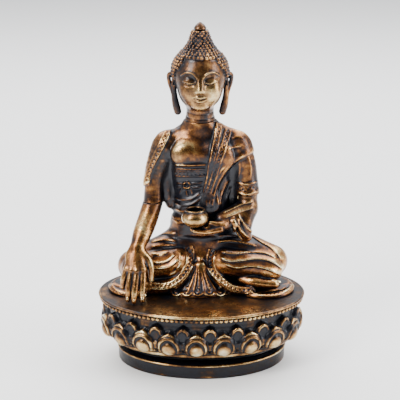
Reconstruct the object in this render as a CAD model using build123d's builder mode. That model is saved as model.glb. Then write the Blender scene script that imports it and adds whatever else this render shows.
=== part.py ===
"""Seated Buddha statue on a lotus throne, in millimetres.

Separate hollow castings, fitted together by spigots, tangs and pins: the throne, the crossed legs with the
spread robe, the torso, two forearms, the alms bowl, the head and the jewel on its crown. The hollow holds the
consecration fill (a wooden life stick and paper prayer scrolls) behind a sheet-metal base plate.

Origin at the middle of the throne's resting face, +Z up. The figure faces -Y, its right hand is on the -X side.
"""

import math
import os

from build123d import *

# ---------------------------------------------------------------- driving dimensions
TOTAL_HEIGHT = 200.0
DECK_Z = 41.5  # top of the throne, where the figure sits
DECK_HALF_X, DECK_HALF_Y = 61.5, 43.0  # the throne's widest oval, at the deck's rim
WALL = 3.0  # casting wall
FIT = 0.15  # gap round a spigot or tang in its socket

FIGURE_Y = 12.0  # the figure's upright axis stands behind the throne's middle
LEAN_X = -0.8  # neck, head and jewel lean a little towards the figure's right

WAIST_Z = 84.0  # joint between legs and torso
NECK_Z = 143.0  # joint between torso and head
CROWN_Z = 195.3  # joint between head and jewel
RIGHT_ELBOW_Z = 94.5  # joint between upper arm and bare forearm
LEFT_CUFF_Z = 99.5  # joint between upper arm and sleeved forearm

# ---------------------------------------------------------------- throne
# Each pair is (height, how far the oval is inside the deck's rim), from the resting face up.
PLINTH_OUTSIDE = [(0.0, 11.3), (7.7, 11.0), (8.6, 11.9)]
PLINTH_DEEPER = 3.8  # the plinth is this much deeper each way, front and back, than its inset gives
THRONE_OUTSIDE = [
    (8.6, 14.4),
    (13.0, 14.0),
    (13.0, 9.0),
    (15.8, 8.4),
    (24.0, 6.8),
    (33.5, 6.2),
    (36.6, 5.8),
    (36.6, 3.4),
    (39.9, 3.4),
    (39.9, 0.6),
    (40.5, 0.0),
    (DECK_Z, 0.4),
]
PLATE_REBATE = (0.6, 13.8)  # height and inset of the base plate's rebate
PLATE_THICKNESS = 1.2
THRONE_HOLLOW = [(1.8, 17.8), (15.8, 17.6), (19.5, 12.4), (34.0, 8.4), (38.4, 8.4)]
FILL_OPENING = (19.0, 10.0)  # half width and half depth of the hole in the deck

PETAL_COUNT = 19
PETAL_HALF_WIDTH, PETAL_HALF_HEIGHT = 6.9, 7.4
PETAL_SHIFT = -2.85  # the nearest petal's middle, along the rim from the front
PETAL_Z = 23.6
PETAL_INSET = 6.9  # the band's own inset at the petals' middle height
PETAL_LEAN = 0.2  # the petals face a little downwards, as the band does
PETAL_STAND_OUT = 3.4
PETAL_ROOT = 2.0  # how deep a petal is rooted in the band
PETAL_TAPER = 0.6

BEAD_COUNT = 114
BEAD_RADIUS = 1.2
BEAD_HEIGHT = 2.2
BEAD_STRIP_HALF = 0.6  # half the section of the strip that joins the beads
BEAD_Z = 38.4
BEAD_INSET = 2.0

PLATE_PIN_COUNT = 8
PLATE_PIN_RADIUS = 0.9
PLATE_PIN_LENGTH = 4.0

# ---------------------------------------------------------------- figure
# Oval sections of each casting: (height, half width, half depth, centre y).
LEG_SECTIONS = [
    (DECK_Z, 44.5, 18.5, 13.0),
    (47.0, 49.0, 20.0, 12.8),
    (54.0, 50.8, 20.8, 12.5),
    (61.0, 48.0, 19.6, 12.3),
    (67.5, 41.5, 17.2, 12.2),
    (73.0, 33.0, 14.6, 12.0),
    (78.0, 23.5, 12.4, 12.0),
    (WAIST_Z, 16.9, 10.6, FIGURE_Y),
]
TORSO_SECTIONS = [
    (WAIST_Z, 16.9, 10.6, FIGURE_Y),
    (92.0, 16.8, 10.4, FIGURE_Y),
    (102.0, 18.8, 10.6, FIGURE_Y),
    (112.0, 21.2, 11.2, FIGURE_Y),
    (121.0, 23.5, 11.6, 12.4),
    (128.5, 24.5, 10.6, 12.8),
    (134.5, 19.5, 9.0, 13.2),
    (139.0, 12.4, 8.2, 13.0),
    (NECK_Z, 9.2, 8.2, 12.8),
]
HEAD_SECTIONS = [
    (NECK_Z, 8.2, 8.4, 12.8),
    (148.0, 7.9, 8.3, 12.4),
    (151.0, 9.4, 11.4, 10.4),
    (156.0, 12.4, 14.4, 11.0),
    (163.0, 14.8, 16.0, 12.0),
    (170.0, 16.0, 16.6, 12.6),
    (177.0, 14.2, 15.2, 12.8),
    (182.5, 10.4, 11.4, 13.2),
    (188.0, 7.4, 7.6, 13.6),
    (CROWN_Z, 3.7, 3.8, 14.0),
]
COLLAR_HALF_X, COLLAR_HALF_Y = 12.8, 7.0  # torso socket that takes the collar on the legs
COLLAR_HEIGHT = 5.0
COLLAR_WALL = 2.2

SHOULDER_X, SHOULDER_Z, SHOULDER_RADIUS = 22.0, 126.5, 8.6
RIGHT_ELBOW = (-28.6, 9.0, RIGHT_ELBOW_Z)
RIGHT_WRIST = (-37.0, -8.0, 73.6)
RIGHT_KNUCKLE_Y = -14.5
# Each finger: knuckle x and z, then the tip's x, y and z, from the little finger in.
RIGHT_FINGERS = [
    (-43.3, 61.2, -44.6, -15.5, 50.5),
    (-40.2, 62.4, -41.2, -19.0, 44.4),
    (-37.0, 62.6, -37.4, -20.5, 43.4),
    (-33.8, 62.2, -33.2, -19.5, 44.6),
]
RIGHT_THUMB = [(-29.6, -11.5, 64.0), (-28.9, -13.5, 54.0)]
LEFT_CUFF = (27.4, 9.2, LEFT_CUFF_Z)
LEFT_ELBOW = (26.0, 7.5, 89.5)
LEFT_WRIST = (13.6, -6.5, 83.6)
LEFT_PALM = (3.0, -7.4, 82.2)

SPIGOT_LENGTH = 5.5
ARM_SPIGOT_RADIUS = 2.6
NECK_Y = 12.8
NECK_SPIGOT_RADIUS = 5.5
NECK_SPIGOT_LENGTH = 7.0
NECK_BORE_RADIUS = 3.6
PIN_FIT = 0.02
ARM_PIN_RADIUS, ARM_PIN_LENGTH, ARM_PIN_REACH = 0.8, 6.4, 1.6
NECK_PIN_RADIUS, NECK_PIN_Y = 0.9, (3.9, 7.9)
WAIST_PIN_RADIUS, WAIST_PIN_X = 1.0, (10.9, 16.2)

TANG_THICKNESS, TANG_WIDTH, TANG_DEPTH = 3.2, 8.0, 10.0
TANG_PIN_RADIUS = 1.1
TANG_PIN_LENGTH = 8.0
TANG_SPREAD_X, TANG_SIDE_Y, TANG_REAR_Y = 42.2, 13.0, 29.8

BOWL_X, BOWL_Y = -3.8, -6.9
BOWL_BASE_Z = 84.6
BOWL_PEG_RADIUS, BOWL_PEG_LENGTH = 1.3, 1.6
# Radius and height, up the outside and down the inside.
BOWL_PROFILE = [
    (0, 84.6),
    (3.2, 84.6),
    (5.6, 85.6),
    (7.0, 87.4),
    (7.4, 89.2),
    (6.6, 91.6),
    (5.3, 93.2),
    (5.4, 94.0),
    (4.4, 94.0),
    (4.3, 93.2),
    (5.5, 91.2),
    (6.1, 89.2),
    (5.7, 87.9),
    (4.4, 86.6),
    (2.4, 86.0),
    (0, 85.9),
]

EAR_X, EAR_Y, EAR_Z, EAR_LEAN = 14.6, 13.5, 157.0, 10
EAR_SIZE = (3.2, 4.6, 19.0)
NOSE_FOOT, NOSE_SLOPE, NOSE_LENGTH = (-2.6, 160.0), 0.22, 9.0
JEWEL_Y = 14.0
JEWEL_PEG_RADIUS, JEWEL_PEG_LENGTH = 1.4, 3.6
# Oval sections of the hollow inside the head: (height, half width, half depth, centre y).
HEAD_HOLLOW = [
    (149.8, 5.0, 5.0, NECK_Y),
    (155.0, 8.6, 10.2, 12.0),
    (163.0, 11.2, 12.4, 12.2),
    (170.0, 12.4, 13.0, 12.6),
    (177.0, 10.6, 11.6, 12.8),
    (185.0, 4.8, 5.2, 13.4),
]

# ---------------------------------------------------------------- consecration fill
STICK_BOTTOM, STICK_TOP = 2.0, 158.0
STICK_HALF_BOTTOM, STICK_HALF_TOP = 2.6, 1.0
SCROLL_RADIUS, SCROLL_BORE, SCROLL_LENGTH = 5.0, 0.8, 29.0
SCROLL_SPOTS = [(-35, 2), (-23, -11), (-8, -17), (8, -17), (23, -11), (35, 2)]
HEART_SCROLL_Z, HEART_SCROLL_LENGTH = 95.0, 28.0
HEART_SCROLL_RADIUS, HEART_SCROLL_BORE = 4.8, 2.6
THREAD_RADIUS = 0.45


def oval(z, half_x, half_y, center_y=0.0, center_x=0.0):
    """One level oval face, ready for a loft or an extrusion."""
    with BuildSketch(Plane.XY.offset(z)) as outline:
        with Locations((center_x, center_y)):
            Ellipse(half_x, half_y)
    return outline.sketch


def throne_oval(z, inset, deeper=0.0):
    """An oval of the throne, a given distance inside the deck's rim, and made deeper front and back."""
    return oval(z, DECK_HALF_X - inset, DECK_HALF_Y - inset + deeper)


def throne_bands(levels, deeper=0.0, mode=Mode.ADD):
    """Stacks straight-sided oval bands, stepping where two levels share a height."""
    for (z0, inset0), (z1, inset1) in zip(levels, levels[1:]):
        if z1 > z0:
            loft([throne_oval(z0, inset0, deeper), throne_oval(z1, inset1, deeper)], ruled=True, mode=mode)


def body_loft(sections, inset=0.0, mode=Mode.ADD, center_x=0.0):
    """A smooth body through level ovals, or its hollow when the ovals are inset."""
    loft([oval(z, hx - inset, hy - inset, cy, center_x) for z, hx, hy, cy in sections], mode=mode)


def limb(start, start_radius, end, end_radius):
    """Adds a tapered limb with round ends."""
    along = Vector(*end) - Vector(*start)
    with Locations(start):
        Sphere(start_radius)
    with Locations(end):
        Sphere(end_radius)
    with Locations(Plane(origin=start, z_dir=along).location):
        Cone(start_radius, end_radius, along.length, align=(Align.CENTER, Align.CENTER, Align.MIN))


def rod(start, direction, radius, length, mode=Mode.ADD):
    """A round pin or hole that starts at a point and runs along a direction."""
    with Locations(Plane(origin=start, z_dir=direction).location):
        Cylinder(radius, length, align=(Align.CENTER, Align.CENTER, Align.MIN), mode=mode)


def upright_block(x, y, size_x, size_y, z_low, z_high, mode=Mode.ADD):
    """A rectangular tang, slot or cut between two heights."""
    with Locations((x, y, z_low)):
        Box(size_x, size_y, z_high - z_low, align=(Align.CENTER, Align.CENTER, Align.MIN), mode=mode)


def oval_point(half_x, half_y, turn):
    """Point and outward direction on an oval, at a share of a full turn measured from the front."""
    angle = 2 * math.pi * turn - math.pi / 2
    point = (half_x * math.cos(angle), half_y * math.sin(angle))
    outward = Vector(math.cos(angle) / half_x, math.sin(angle) / half_y, 0).normalized()
    return point, outward


def even_turns(half_x, half_y, count, shift=0.0):
    """Shares of a turn that space points evenly along the oval's length, from a shift off the front."""
    steps = 4000
    corners = [oval_point(half_x, half_y, i / steps)[0] for i in range(steps + 1)]
    reached = [0.0]
    for a, b in zip(corners, corners[1:]):
        reached.append(reached[-1] + math.dist(a, b))
    turns, i = [], 0
    for goal in sorted((shift + reached[-1] * k / count) % reached[-1] for k in range(count)):
        while reached[i] < goal:
            i += 1
        turns.append(i / steps)
    return turns


def petal_outline(facing, reach, share):
    """A petal's outline, at a distance out from its root plane and a share of its full size."""
    with BuildSketch(facing.offset(reach)) as outline:
        Ellipse(share * PETAL_HALF_WIDTH, share * PETAL_HALF_HEIGHT)
    return outline.sketch


def plate_pin_spots():
    """Where the base plate's pins stand, on the ledge above the rebate."""
    inset = (PLATE_REBATE[1] + THRONE_HOLLOW[0][1]) / 2
    half_x, half_y = DECK_HALF_X - inset, DECK_HALF_Y - inset
    return [oval_point(half_x, half_y, t)[0] for t in even_turns(half_x, half_y, PLATE_PIN_COUNT)]


def tang_places():
    """Centre, size in x and y, and pin direction of the three tangs under the legs."""
    return [
        (-TANG_SPREAD_X, TANG_SIDE_Y, TANG_THICKNESS, TANG_WIDTH, (1, 0, 0)),
        (TANG_SPREAD_X, TANG_SIDE_Y, TANG_THICKNESS, TANG_WIDTH, (1, 0, 0)),
        (0.0, TANG_REAR_Y, TANG_WIDTH, TANG_THICKNESS, (0, 1, 0)),
    ]


def save(builder, name):
    """Labels a finished piece and writes its STEP file."""
    builder.part.label = name
    export_step(builder.part, f"parts/{name}.step")


os.makedirs("parts", exist_ok=True)
deck_under_z = THRONE_HOLLOW[-1][0]
tang_pin_z = deck_under_z - TANG_PIN_RADIUS - 0.05
plate_top_z = PLATE_REBATE[0] + PLATE_THICKNESS
neck_pin_z = NECK_Z + NECK_SPIGOT_LENGTH / 2
neck_pin_start = (LEAN_X, NECK_Y + NECK_PIN_Y[0], NECK_Z + NECK_SPIGOT_LENGTH / 2)

# ---------------------------------------------------------------- lotus throne casting
petal_half_x, petal_half_y = DECK_HALF_X - PETAL_INSET, DECK_HALF_Y - PETAL_INSET
with BuildPart() as lotus_throne:
    throne_bands(PLINTH_OUTSIDE, PLINTH_DEEPER)
    throne_bands(THRONE_OUTSIDE)
    for turn in even_turns(petal_half_x, petal_half_y, PETAL_COUNT, PETAL_SHIFT):
        (px, py), outward = oval_point(petal_half_x, petal_half_y, turn)
        lean = (outward - Vector(0, 0, PETAL_LEAN)).normalized()
        root = Vector(px, py, PETAL_Z) - lean * PETAL_ROOT
        facing = Plane(origin=root, x_dir=outward.cross(Vector(0, 0, 1)), z_dir=lean)
        loft([petal_outline(facing, 0, 1), petal_outline(facing, PETAL_ROOT + PETAL_STAND_OUT, PETAL_TAPER)])
    extrude(throne_oval(0, PLATE_REBATE[1]), amount=plate_top_z, mode=Mode.SUBTRACT)
    throne_bands(THRONE_HOLLOW, mode=Mode.SUBTRACT)
    extrude(oval(deck_under_z - 1, *FILL_OPENING, FIGURE_Y), amount=5, mode=Mode.SUBTRACT)
    for x, y, size_x, size_y, _ in tang_places():
        slot = (size_x + 2 * FIT, size_y + 2 * FIT)
        upright_block(x, y, *slot, deck_under_z - 1, DECK_Z + 1, Mode.SUBTRACT)
    for x, y in plate_pin_spots():
        start = (x, y, PLATE_REBATE[0])
        rod(start, (0, 0, 1), PLATE_PIN_RADIUS + PIN_FIT, PLATE_PIN_LENGTH + 0.2, Mode.SUBTRACT)
save(lotus_throne, "lotus_throne")

# ---------------------------------------------------------------- beaded strip round the rim
bead_half_x, bead_half_y = DECK_HALF_X - BEAD_INSET, DECK_HALF_Y - BEAD_INSET
bead_spots = []
for turn in even_turns(bead_half_x, bead_half_y, BEAD_COUNT):
    (bx, by), _ = oval_point(bead_half_x, bead_half_y, turn)
    bead_spots.append(Vector(bx, by, BEAD_Z))
with BuildPart() as beaded_rim:
    with BuildSketch(Plane.XY.offset(BEAD_Z - BEAD_STRIP_HALF)):
        Ellipse(bead_half_x + BEAD_STRIP_HALF, bead_half_y + BEAD_STRIP_HALF)
        Ellipse(bead_half_x - BEAD_STRIP_HALF, bead_half_y - BEAD_STRIP_HALF, mode=Mode.SUBTRACT)
    extrude(amount=2 * BEAD_STRIP_HALF)
    with Locations(*bead_spots):
        Cylinder(BEAD_RADIUS, BEAD_HEIGHT)
save(beaded_rim, "beaded_rim")

# ---------------------------------------------------------------- base plate and its pins
with BuildPart() as base_plate:
    extrude(throne_oval(PLATE_REBATE[0], PLATE_REBATE[1] + FIT), amount=PLATE_THICKNESS)
    for x, y in plate_pin_spots():
        rod((x, y, 0), (0, 0, 1), PLATE_PIN_RADIUS + PIN_FIT, plate_top_z + 1, Mode.SUBTRACT)
save(base_plate, "base_plate")

with BuildPart() as base_plate_pins:
    for x, y in plate_pin_spots():
        rod((x, y, PLATE_REBATE[0]), (0, 0, 1), PLATE_PIN_RADIUS, PLATE_PIN_LENGTH)
save(base_plate_pins, "base_plate_pins")

# ---------------------------------------------------------------- crossed legs and spread robe
waist_pin_z = WAIST_Z + COLLAR_HEIGHT / 2
with BuildPart() as crossed_legs:
    body_loft(LEG_SECTIONS)
    extrude(oval(DECK_Z, 56.0, 20.5, 5.5), amount=2.0)
    extrude(oval(DECK_Z, 19.0, 9.0, -4.5), amount=2.6)
    limb((-41, 6, 54.5), 9.6, (-18, 1.5, 54), 8.8)
    limb((41, 6, 56), 9.4, (15, 1.5, 58), 7.6)
    limb((19, -2.5, 49.5), 3.6, (43, -1.5, 47.5), 3.9)
    extrude(oval(WAIST_Z, COLLAR_HALF_X - FIT, COLLAR_HALF_Y - FIT, FIGURE_Y), amount=COLLAR_HEIGHT)
    for x, y, size_x, size_y, _ in tang_places():
        upright_block(x, y, size_x, size_y, DECK_Z - TANG_DEPTH, DECK_Z + 1)
    body_loft(LEG_SECTIONS[:-1], inset=WALL + 1.0, mode=Mode.SUBTRACT)
    collar_bore = oval(70.0, COLLAR_HALF_X - COLLAR_WALL, COLLAR_HALF_Y - COLLAR_WALL, FIGURE_Y)
    extrude(collar_bore, amount=30, mode=Mode.SUBTRACT)
    for x, y, _, _, along in tang_places():
        start = Vector(x, y, tang_pin_z) - Vector(*along) * TANG_PIN_LENGTH
        rod(start, along, TANG_PIN_RADIUS + PIN_FIT, 2 * TANG_PIN_LENGTH, Mode.SUBTRACT)
    for side in (-1, 1):
        hole_start = (side * WAIST_PIN_X[0], FIGURE_Y, waist_pin_z)
        rod(hole_start, (side, 0, 0), WAIST_PIN_RADIUS + PIN_FIT, 12, Mode.SUBTRACT)
save(crossed_legs, "crossed_legs")

with BuildPart() as tang_pins:
    for x, y, _, _, along in tang_places():
        start = Vector(x, y, tang_pin_z) - Vector(*along) * (TANG_PIN_LENGTH / 2)
        rod(start, along, TANG_PIN_RADIUS, TANG_PIN_LENGTH)
save(tang_pins, "tang_pins")

# ---------------------------------------------------------------- torso with both upper arms
with BuildPart() as torso:
    body_loft(TORSO_SECTIONS)
    limb((-SHOULDER_X, 13, SHOULDER_Z), SHOULDER_RADIUS, RIGHT_ELBOW, 5.8)
    limb((SHOULDER_X, 13, SHOULDER_Z), SHOULDER_RADIUS, LEFT_CUFF, 6.4)
    upright_block(-SHOULDER_X - 10, 10, 28.8, 40, 70, RIGHT_ELBOW_Z, Mode.SUBTRACT)
    upright_block(SHOULDER_X + 10, 10, 26.4, 40, 70, LEFT_CUFF_Z, Mode.SUBTRACT)
    body_loft(TORSO_SECTIONS[1:-2], inset=WALL + 1.0, mode=Mode.SUBTRACT)
    waist_socket = oval(WAIST_Z - 1, COLLAR_HALF_X, COLLAR_HALF_Y, FIGURE_Y)
    extrude(waist_socket, amount=COLLAR_HEIGHT + 1 + 2 * FIT, mode=Mode.SUBTRACT)
    extrude(oval(WAIST_Z, 10.6, 5.0, FIGURE_Y), amount=14, mode=Mode.SUBTRACT)
    rod((LEAN_X, NECK_Y, NECK_Z - 1), (0, 0, 1), NECK_SPIGOT_RADIUS, NECK_SPIGOT_LENGTH + 1)
    rod((LEAN_X, NECK_Y, 128), (0, 0, 1), NECK_BORE_RADIUS, 40, Mode.SUBTRACT)
    for elbow in (RIGHT_ELBOW, LEFT_CUFF):
        rod(elbow, (0, 0, 1), ARM_SPIGOT_RADIUS + FIT, SPIGOT_LENGTH + 2 * FIT, Mode.SUBTRACT)
    for side, elbow in ((-1, RIGHT_ELBOW), (1, LEFT_CUFF)):
        start = Vector(*elbow) + Vector(-side * ARM_PIN_REACH, 0, SPIGOT_LENGTH / 2)
        rod(start, (side, 0, 0), ARM_PIN_RADIUS + PIN_FIT, 16, Mode.SUBTRACT)
    for side in (-1, 1):
        hole_start = (side * WAIST_PIN_X[0], FIGURE_Y, waist_pin_z)
        rod(hole_start, (side, 0, 0), WAIST_PIN_RADIUS + PIN_FIT, 12, Mode.SUBTRACT)
    rod(neck_pin_start, (0, 1, 0), NECK_PIN_RADIUS + PIN_FIT, 9, Mode.SUBTRACT)
save(torso, "torso")

with BuildPart() as waist_pins:
    for side in (-1, 1):
        start = (side * WAIST_PIN_X[0], FIGURE_Y, waist_pin_z)
        rod(start, (side, 0, 0), WAIST_PIN_RADIUS, WAIST_PIN_X[1] - WAIST_PIN_X[0])
save(waist_pins, "waist_pins")

# ---------------------------------------------------------------- right forearm, the hand down over the shin
with BuildPart() as right_forearm:
    limb(RIGHT_ELBOW, 5.8, RIGHT_WRIST, 3.9)
    for knuckle_x, knuckle_z, tip_x, tip_y, tip_z in RIGHT_FINGERS:
        knuckle = (knuckle_x, RIGHT_KNUCKLE_Y, knuckle_z)
        limb(RIGHT_WRIST, 3.0, knuckle, 2.3)
        limb(knuckle, 2.2, (tip_x, tip_y, tip_z), 1.5)
    limb(RIGHT_WRIST, 2.8, RIGHT_THUMB[0], 2.2)
    limb(RIGHT_THUMB[0], 2.2, RIGHT_THUMB[1], 1.5)
    upright_block(RIGHT_ELBOW[0], 9, 40, 40, RIGHT_ELBOW_Z, RIGHT_ELBOW_Z + 20, Mode.SUBTRACT)
    rod(RIGHT_ELBOW, (0, 0, 1), ARM_SPIGOT_RADIUS, SPIGOT_LENGTH)
    start = Vector(*RIGHT_ELBOW) + Vector(ARM_PIN_REACH, 0, SPIGOT_LENGTH / 2)
    rod(start, (-1, 0, 0), ARM_PIN_RADIUS + PIN_FIT, 12, Mode.SUBTRACT)
save(right_forearm, "right_forearm")

# ---------------------------------------------------------------- left forearm in its sleeve, the hand palm up
with BuildPart() as left_forearm:
    limb(LEFT_CUFF, 6.4, LEFT_ELBOW, 6.8)
    limb(LEFT_ELBOW, 6.8, LEFT_WRIST, 4.0)
    limb(LEFT_WRIST, 3.4, LEFT_PALM, 2.9)
    for offset in (-3.6, -1.2, 1.2, 3.6):
        limb(LEFT_PALM, 2.6, (-8.6, LEFT_PALM[1] + offset, LEFT_PALM[2] - 0.4), 1.6)
    upright_block(LEFT_CUFF[0], LEFT_CUFF[1], 40, 40, LEFT_CUFF_Z, LEFT_CUFF_Z + 20, Mode.SUBTRACT)
    rod((BOWL_X, BOWL_Y, BOWL_BASE_Z), (0, 0, 1), 8.5, 20, Mode.SUBTRACT)
    rod((BOWL_X, BOWL_Y, BOWL_BASE_Z - 2.0), (0, 0, 1), BOWL_PEG_RADIUS + 0.05, 20, Mode.SUBTRACT)
    rod(LEFT_CUFF, (0, 0, 1), ARM_SPIGOT_RADIUS, SPIGOT_LENGTH)
    start = Vector(*LEFT_CUFF) + Vector(-ARM_PIN_REACH, 0, SPIGOT_LENGTH / 2)
    rod(start, (1, 0, 0), ARM_PIN_RADIUS + PIN_FIT, 12, Mode.SUBTRACT)
save(left_forearm, "left_forearm")

with BuildPart() as right_elbow_pin:
    start = Vector(*RIGHT_ELBOW) + Vector(ARM_PIN_REACH, 0, SPIGOT_LENGTH / 2)
    rod(start, (-1, 0, 0), ARM_PIN_RADIUS, ARM_PIN_LENGTH)
save(right_elbow_pin, "right_elbow_pin")

with BuildPart() as left_cuff_pin:
    start = Vector(*LEFT_CUFF) + Vector(-ARM_PIN_REACH, 0, SPIGOT_LENGTH / 2)
    rod(start, (1, 0, 0), ARM_PIN_RADIUS, ARM_PIN_LENGTH)
save(left_cuff_pin, "left_cuff_pin")

# ---------------------------------------------------------------- alms bowl
with BuildPart() as alms_bowl:
    with BuildSketch(Plane.XZ) as bowl_half:
        with BuildLine():
            Polyline(BOWL_PROFILE)
            Line(BOWL_PROFILE[-1], BOWL_PROFILE[0])
        make_face()
    revolve(axis=Axis.Z)
    rod((0, 0, BOWL_BASE_Z + 0.4), (0, 0, -1), BOWL_PEG_RADIUS, BOWL_PEG_LENGTH + 0.4)
alms_bowl.part.location = Location((BOWL_X, BOWL_Y, 0))
save(alms_bowl, "alms_bowl")

# ---------------------------------------------------------------- head
with BuildPart() as head:
    body_loft(HEAD_SECTIONS, center_x=LEAN_X)
    for side in (-1, 1):
        with Locations(Location((LEAN_X + side * EAR_X, EAR_Y, EAR_Z), (0, side * EAR_LEAN, 0))):
            Box(*EAR_SIZE)
    with Locations(Plane(origin=(LEAN_X, *NOSE_FOOT), z_dir=(0, NOSE_SLOPE, 1)).location):
        Cone(2.6, 1.2, NOSE_LENGTH, align=(Align.CENTER, Align.CENTER, Align.MIN))
    neck_foot = (LEAN_X, NECK_Y, NECK_Z - 1)
    rod(neck_foot, (0, 0, 1), NECK_SPIGOT_RADIUS + FIT, NECK_SPIGOT_LENGTH + 1.3, Mode.SUBTRACT)
    loft([oval(z, hx, hy, cy, LEAN_X) for z, hx, hy, cy in HEAD_HOLLOW], mode=Mode.SUBTRACT)
    peg_foot = (LEAN_X, JEWEL_Y, CROWN_Z - JEWEL_PEG_LENGTH - 0.2)
    rod(peg_foot, (0, 0, 1), JEWEL_PEG_RADIUS + 0.05, 9, Mode.SUBTRACT)
    rod(neck_pin_start, (0, 1, 0), NECK_PIN_RADIUS + PIN_FIT, 9, Mode.SUBTRACT)
save(head, "head")

with BuildPart() as neck_pin:
    rod(neck_pin_start, (0, 1, 0), NECK_PIN_RADIUS, NECK_PIN_Y[1] - NECK_PIN_Y[0])
save(neck_pin, "neck_pin")

# ---------------------------------------------------------------- jewel on the crown
with BuildPart() as crown_jewel:
    with BuildSketch(Plane.XZ) as jewel_half:
        with BuildLine():
            foot = (0, CROWN_Z)
            Polyline(foot, (3.6, CROWN_Z), (4.1, CROWN_Z + 0.6), (3.9, CROWN_Z + 1.4))
            Spline((3.9, CROWN_Z + 1.4), (2.6, CROWN_Z + 3.0), (0.9, TOTAL_HEIGHT - 0.8))
            Polyline((0.9, TOTAL_HEIGHT - 0.8), (0.35, TOTAL_HEIGHT), (0, TOTAL_HEIGHT), foot)
        make_face()
    revolve(axis=Axis.Z)
    rod((0, 0, CROWN_Z + 0.4), (0, 0, -1), JEWEL_PEG_RADIUS, JEWEL_PEG_LENGTH + 0.4)
crown_jewel.part.location = Location((LEAN_X, JEWEL_Y, 0))
save(crown_jewel, "crown_jewel")

# ---------------------------------------------------------------- consecration fill
with BuildPart() as life_stick:
    with BuildSketch(Plane.XY.offset(STICK_BOTTOM)) as stick_foot:
        with Locations((0, FIGURE_Y)):
            Rectangle(2 * STICK_HALF_BOTTOM, 2 * STICK_HALF_BOTTOM)
    with BuildSketch(Plane.XY.offset(STICK_TOP)) as stick_head:
        with Locations((0, FIGURE_Y)):
            Rectangle(2 * STICK_HALF_TOP, 2 * STICK_HALF_TOP)
    loft()
save(life_stick, "life_stick")

with BuildPart() as heart_scroll:
    rod((0, FIGURE_Y, HEART_SCROLL_Z), (0, 0, 1), HEART_SCROLL_RADIUS, HEART_SCROLL_LENGTH)
    rod((0, FIGURE_Y, HEART_SCROLL_Z - 1), (0, 0, 1), HEART_SCROLL_BORE, 60, Mode.SUBTRACT)
save(heart_scroll, "heart_scroll")

with BuildPart() as base_scrolls:
    for x, y in SCROLL_SPOTS:
        rod((x, y, plate_top_z + 0.05), (0, 0, 1), SCROLL_RADIUS, SCROLL_LENGTH)
        rod((x, y, plate_top_z - 1), (0, 0, 1), SCROLL_BORE, SCROLL_LENGTH + 3, Mode.SUBTRACT)
save(base_scrolls, "base_scrolls")

with BuildPart() as scroll_threads:
    for share in (0.3, 0.7):
        for x, y in SCROLL_SPOTS:
            with Locations((x, y, plate_top_z + SCROLL_LENGTH * share)):
                Torus(SCROLL_RADIUS + THREAD_RADIUS, THREAD_RADIUS)
        with Locations((0, FIGURE_Y, HEART_SCROLL_Z + HEART_SCROLL_LENGTH * share)):
            Torus(HEART_SCROLL_RADIUS + THREAD_RADIUS, THREAD_RADIUS)
save(scroll_threads, "scroll_threads")
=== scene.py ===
"""A seated Buddha on a lotus throne, in worn and patinated copper alloy.

The figure is sculpted as signed distances on regular grids, one grid for each casting, and each casting is
cut where it meets the next. The throne is a swept oval profile with modelled petals. Sculpting lengths are in
millimetres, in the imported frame: +Z up, the figure faces -Y, its right hand is on the -X side.
"""

import math

import bpy
import numpy as np
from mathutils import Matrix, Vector

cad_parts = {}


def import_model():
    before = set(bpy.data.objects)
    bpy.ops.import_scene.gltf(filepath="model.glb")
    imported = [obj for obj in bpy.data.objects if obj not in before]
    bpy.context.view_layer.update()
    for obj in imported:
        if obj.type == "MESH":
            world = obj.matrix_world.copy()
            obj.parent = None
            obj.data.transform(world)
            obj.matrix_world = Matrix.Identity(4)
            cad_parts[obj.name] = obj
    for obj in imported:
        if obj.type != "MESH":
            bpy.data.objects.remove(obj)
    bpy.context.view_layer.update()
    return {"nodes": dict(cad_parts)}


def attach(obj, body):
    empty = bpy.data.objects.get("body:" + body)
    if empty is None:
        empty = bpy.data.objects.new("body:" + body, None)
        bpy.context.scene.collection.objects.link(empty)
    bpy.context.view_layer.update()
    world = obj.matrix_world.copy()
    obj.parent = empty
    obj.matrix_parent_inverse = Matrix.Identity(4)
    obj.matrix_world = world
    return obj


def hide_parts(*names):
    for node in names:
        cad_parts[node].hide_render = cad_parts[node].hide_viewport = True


MM = 0.001
FAR = 9.0

# ---------------------------------------------------------------- sizes shared with the castings
DECK_Z = 41.5
DECK_HALF_X, DECK_HALF_Y = 61.5, 43.0
WAIST_Z = 84.0
NECK_Z = 143.0
CROWN_Z = 195.3
RIGHT_ELBOW_Z = 94.5
LEFT_CUFF_Z = 99.5
LEAN_X = -0.8
TOP_Z = 200.0
TORSO_RIGHT_X, TORSO_LEFT_X = -23.0, 21.6  # below their joints, the forearms lie outside these
BOWL_X, BOWL_Y, BOWL_Z, BOWL_SCALE = -3.8, -6.9, 84.6, 1.07

# Relief is drawn on the upright plane y = 0 and thrown onto the castings from this point in front and above.
THROW_Y, THROW_Z = 662.6, 307.5


def curve(points, per=5):
    """A smooth line through the points, with a number of steps between each two."""
    p = np.array(points, float)
    if len(p) < 3:
        return p
    p = np.vstack([2 * p[0] - p[1], p, 2 * p[-1] - p[-2]])
    t = np.linspace(0, 1, per, endpoint=False)[:, None]
    out = []
    for a, b, c, d in zip(p, p[1:], p[2:], p[3:]):
        bend = (2 * a - 5 * b + 4 * c - d) * t**2
        twist = (3 * b - a - 3 * c + d) * t**3
        out.append(0.5 * (2 * b + (c - a) * t + bend + twist))
    return np.vstack(out + [p[-2:-1]])


def ease(t):
    """0 below 0, 1 above 1, and smooth between."""
    t = np.clip(t, 0, 1)
    return t * t * (3 - 2 * t)


def to_run(place, start, end):
    """The share along a straight run and the distance to it, of points given as one array for each axis."""
    run = np.array(end, float) - np.array(start, float)
    length2 = max(float(run @ run), 1e-9)
    t = np.clip(sum((p - a) * r for p, a, r in zip(place, start, run)) / length2, 0, 1)
    return t, np.sqrt(sum((p - a - t * r) ** 2 for p, a, r in zip(place, start, run)))


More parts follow.
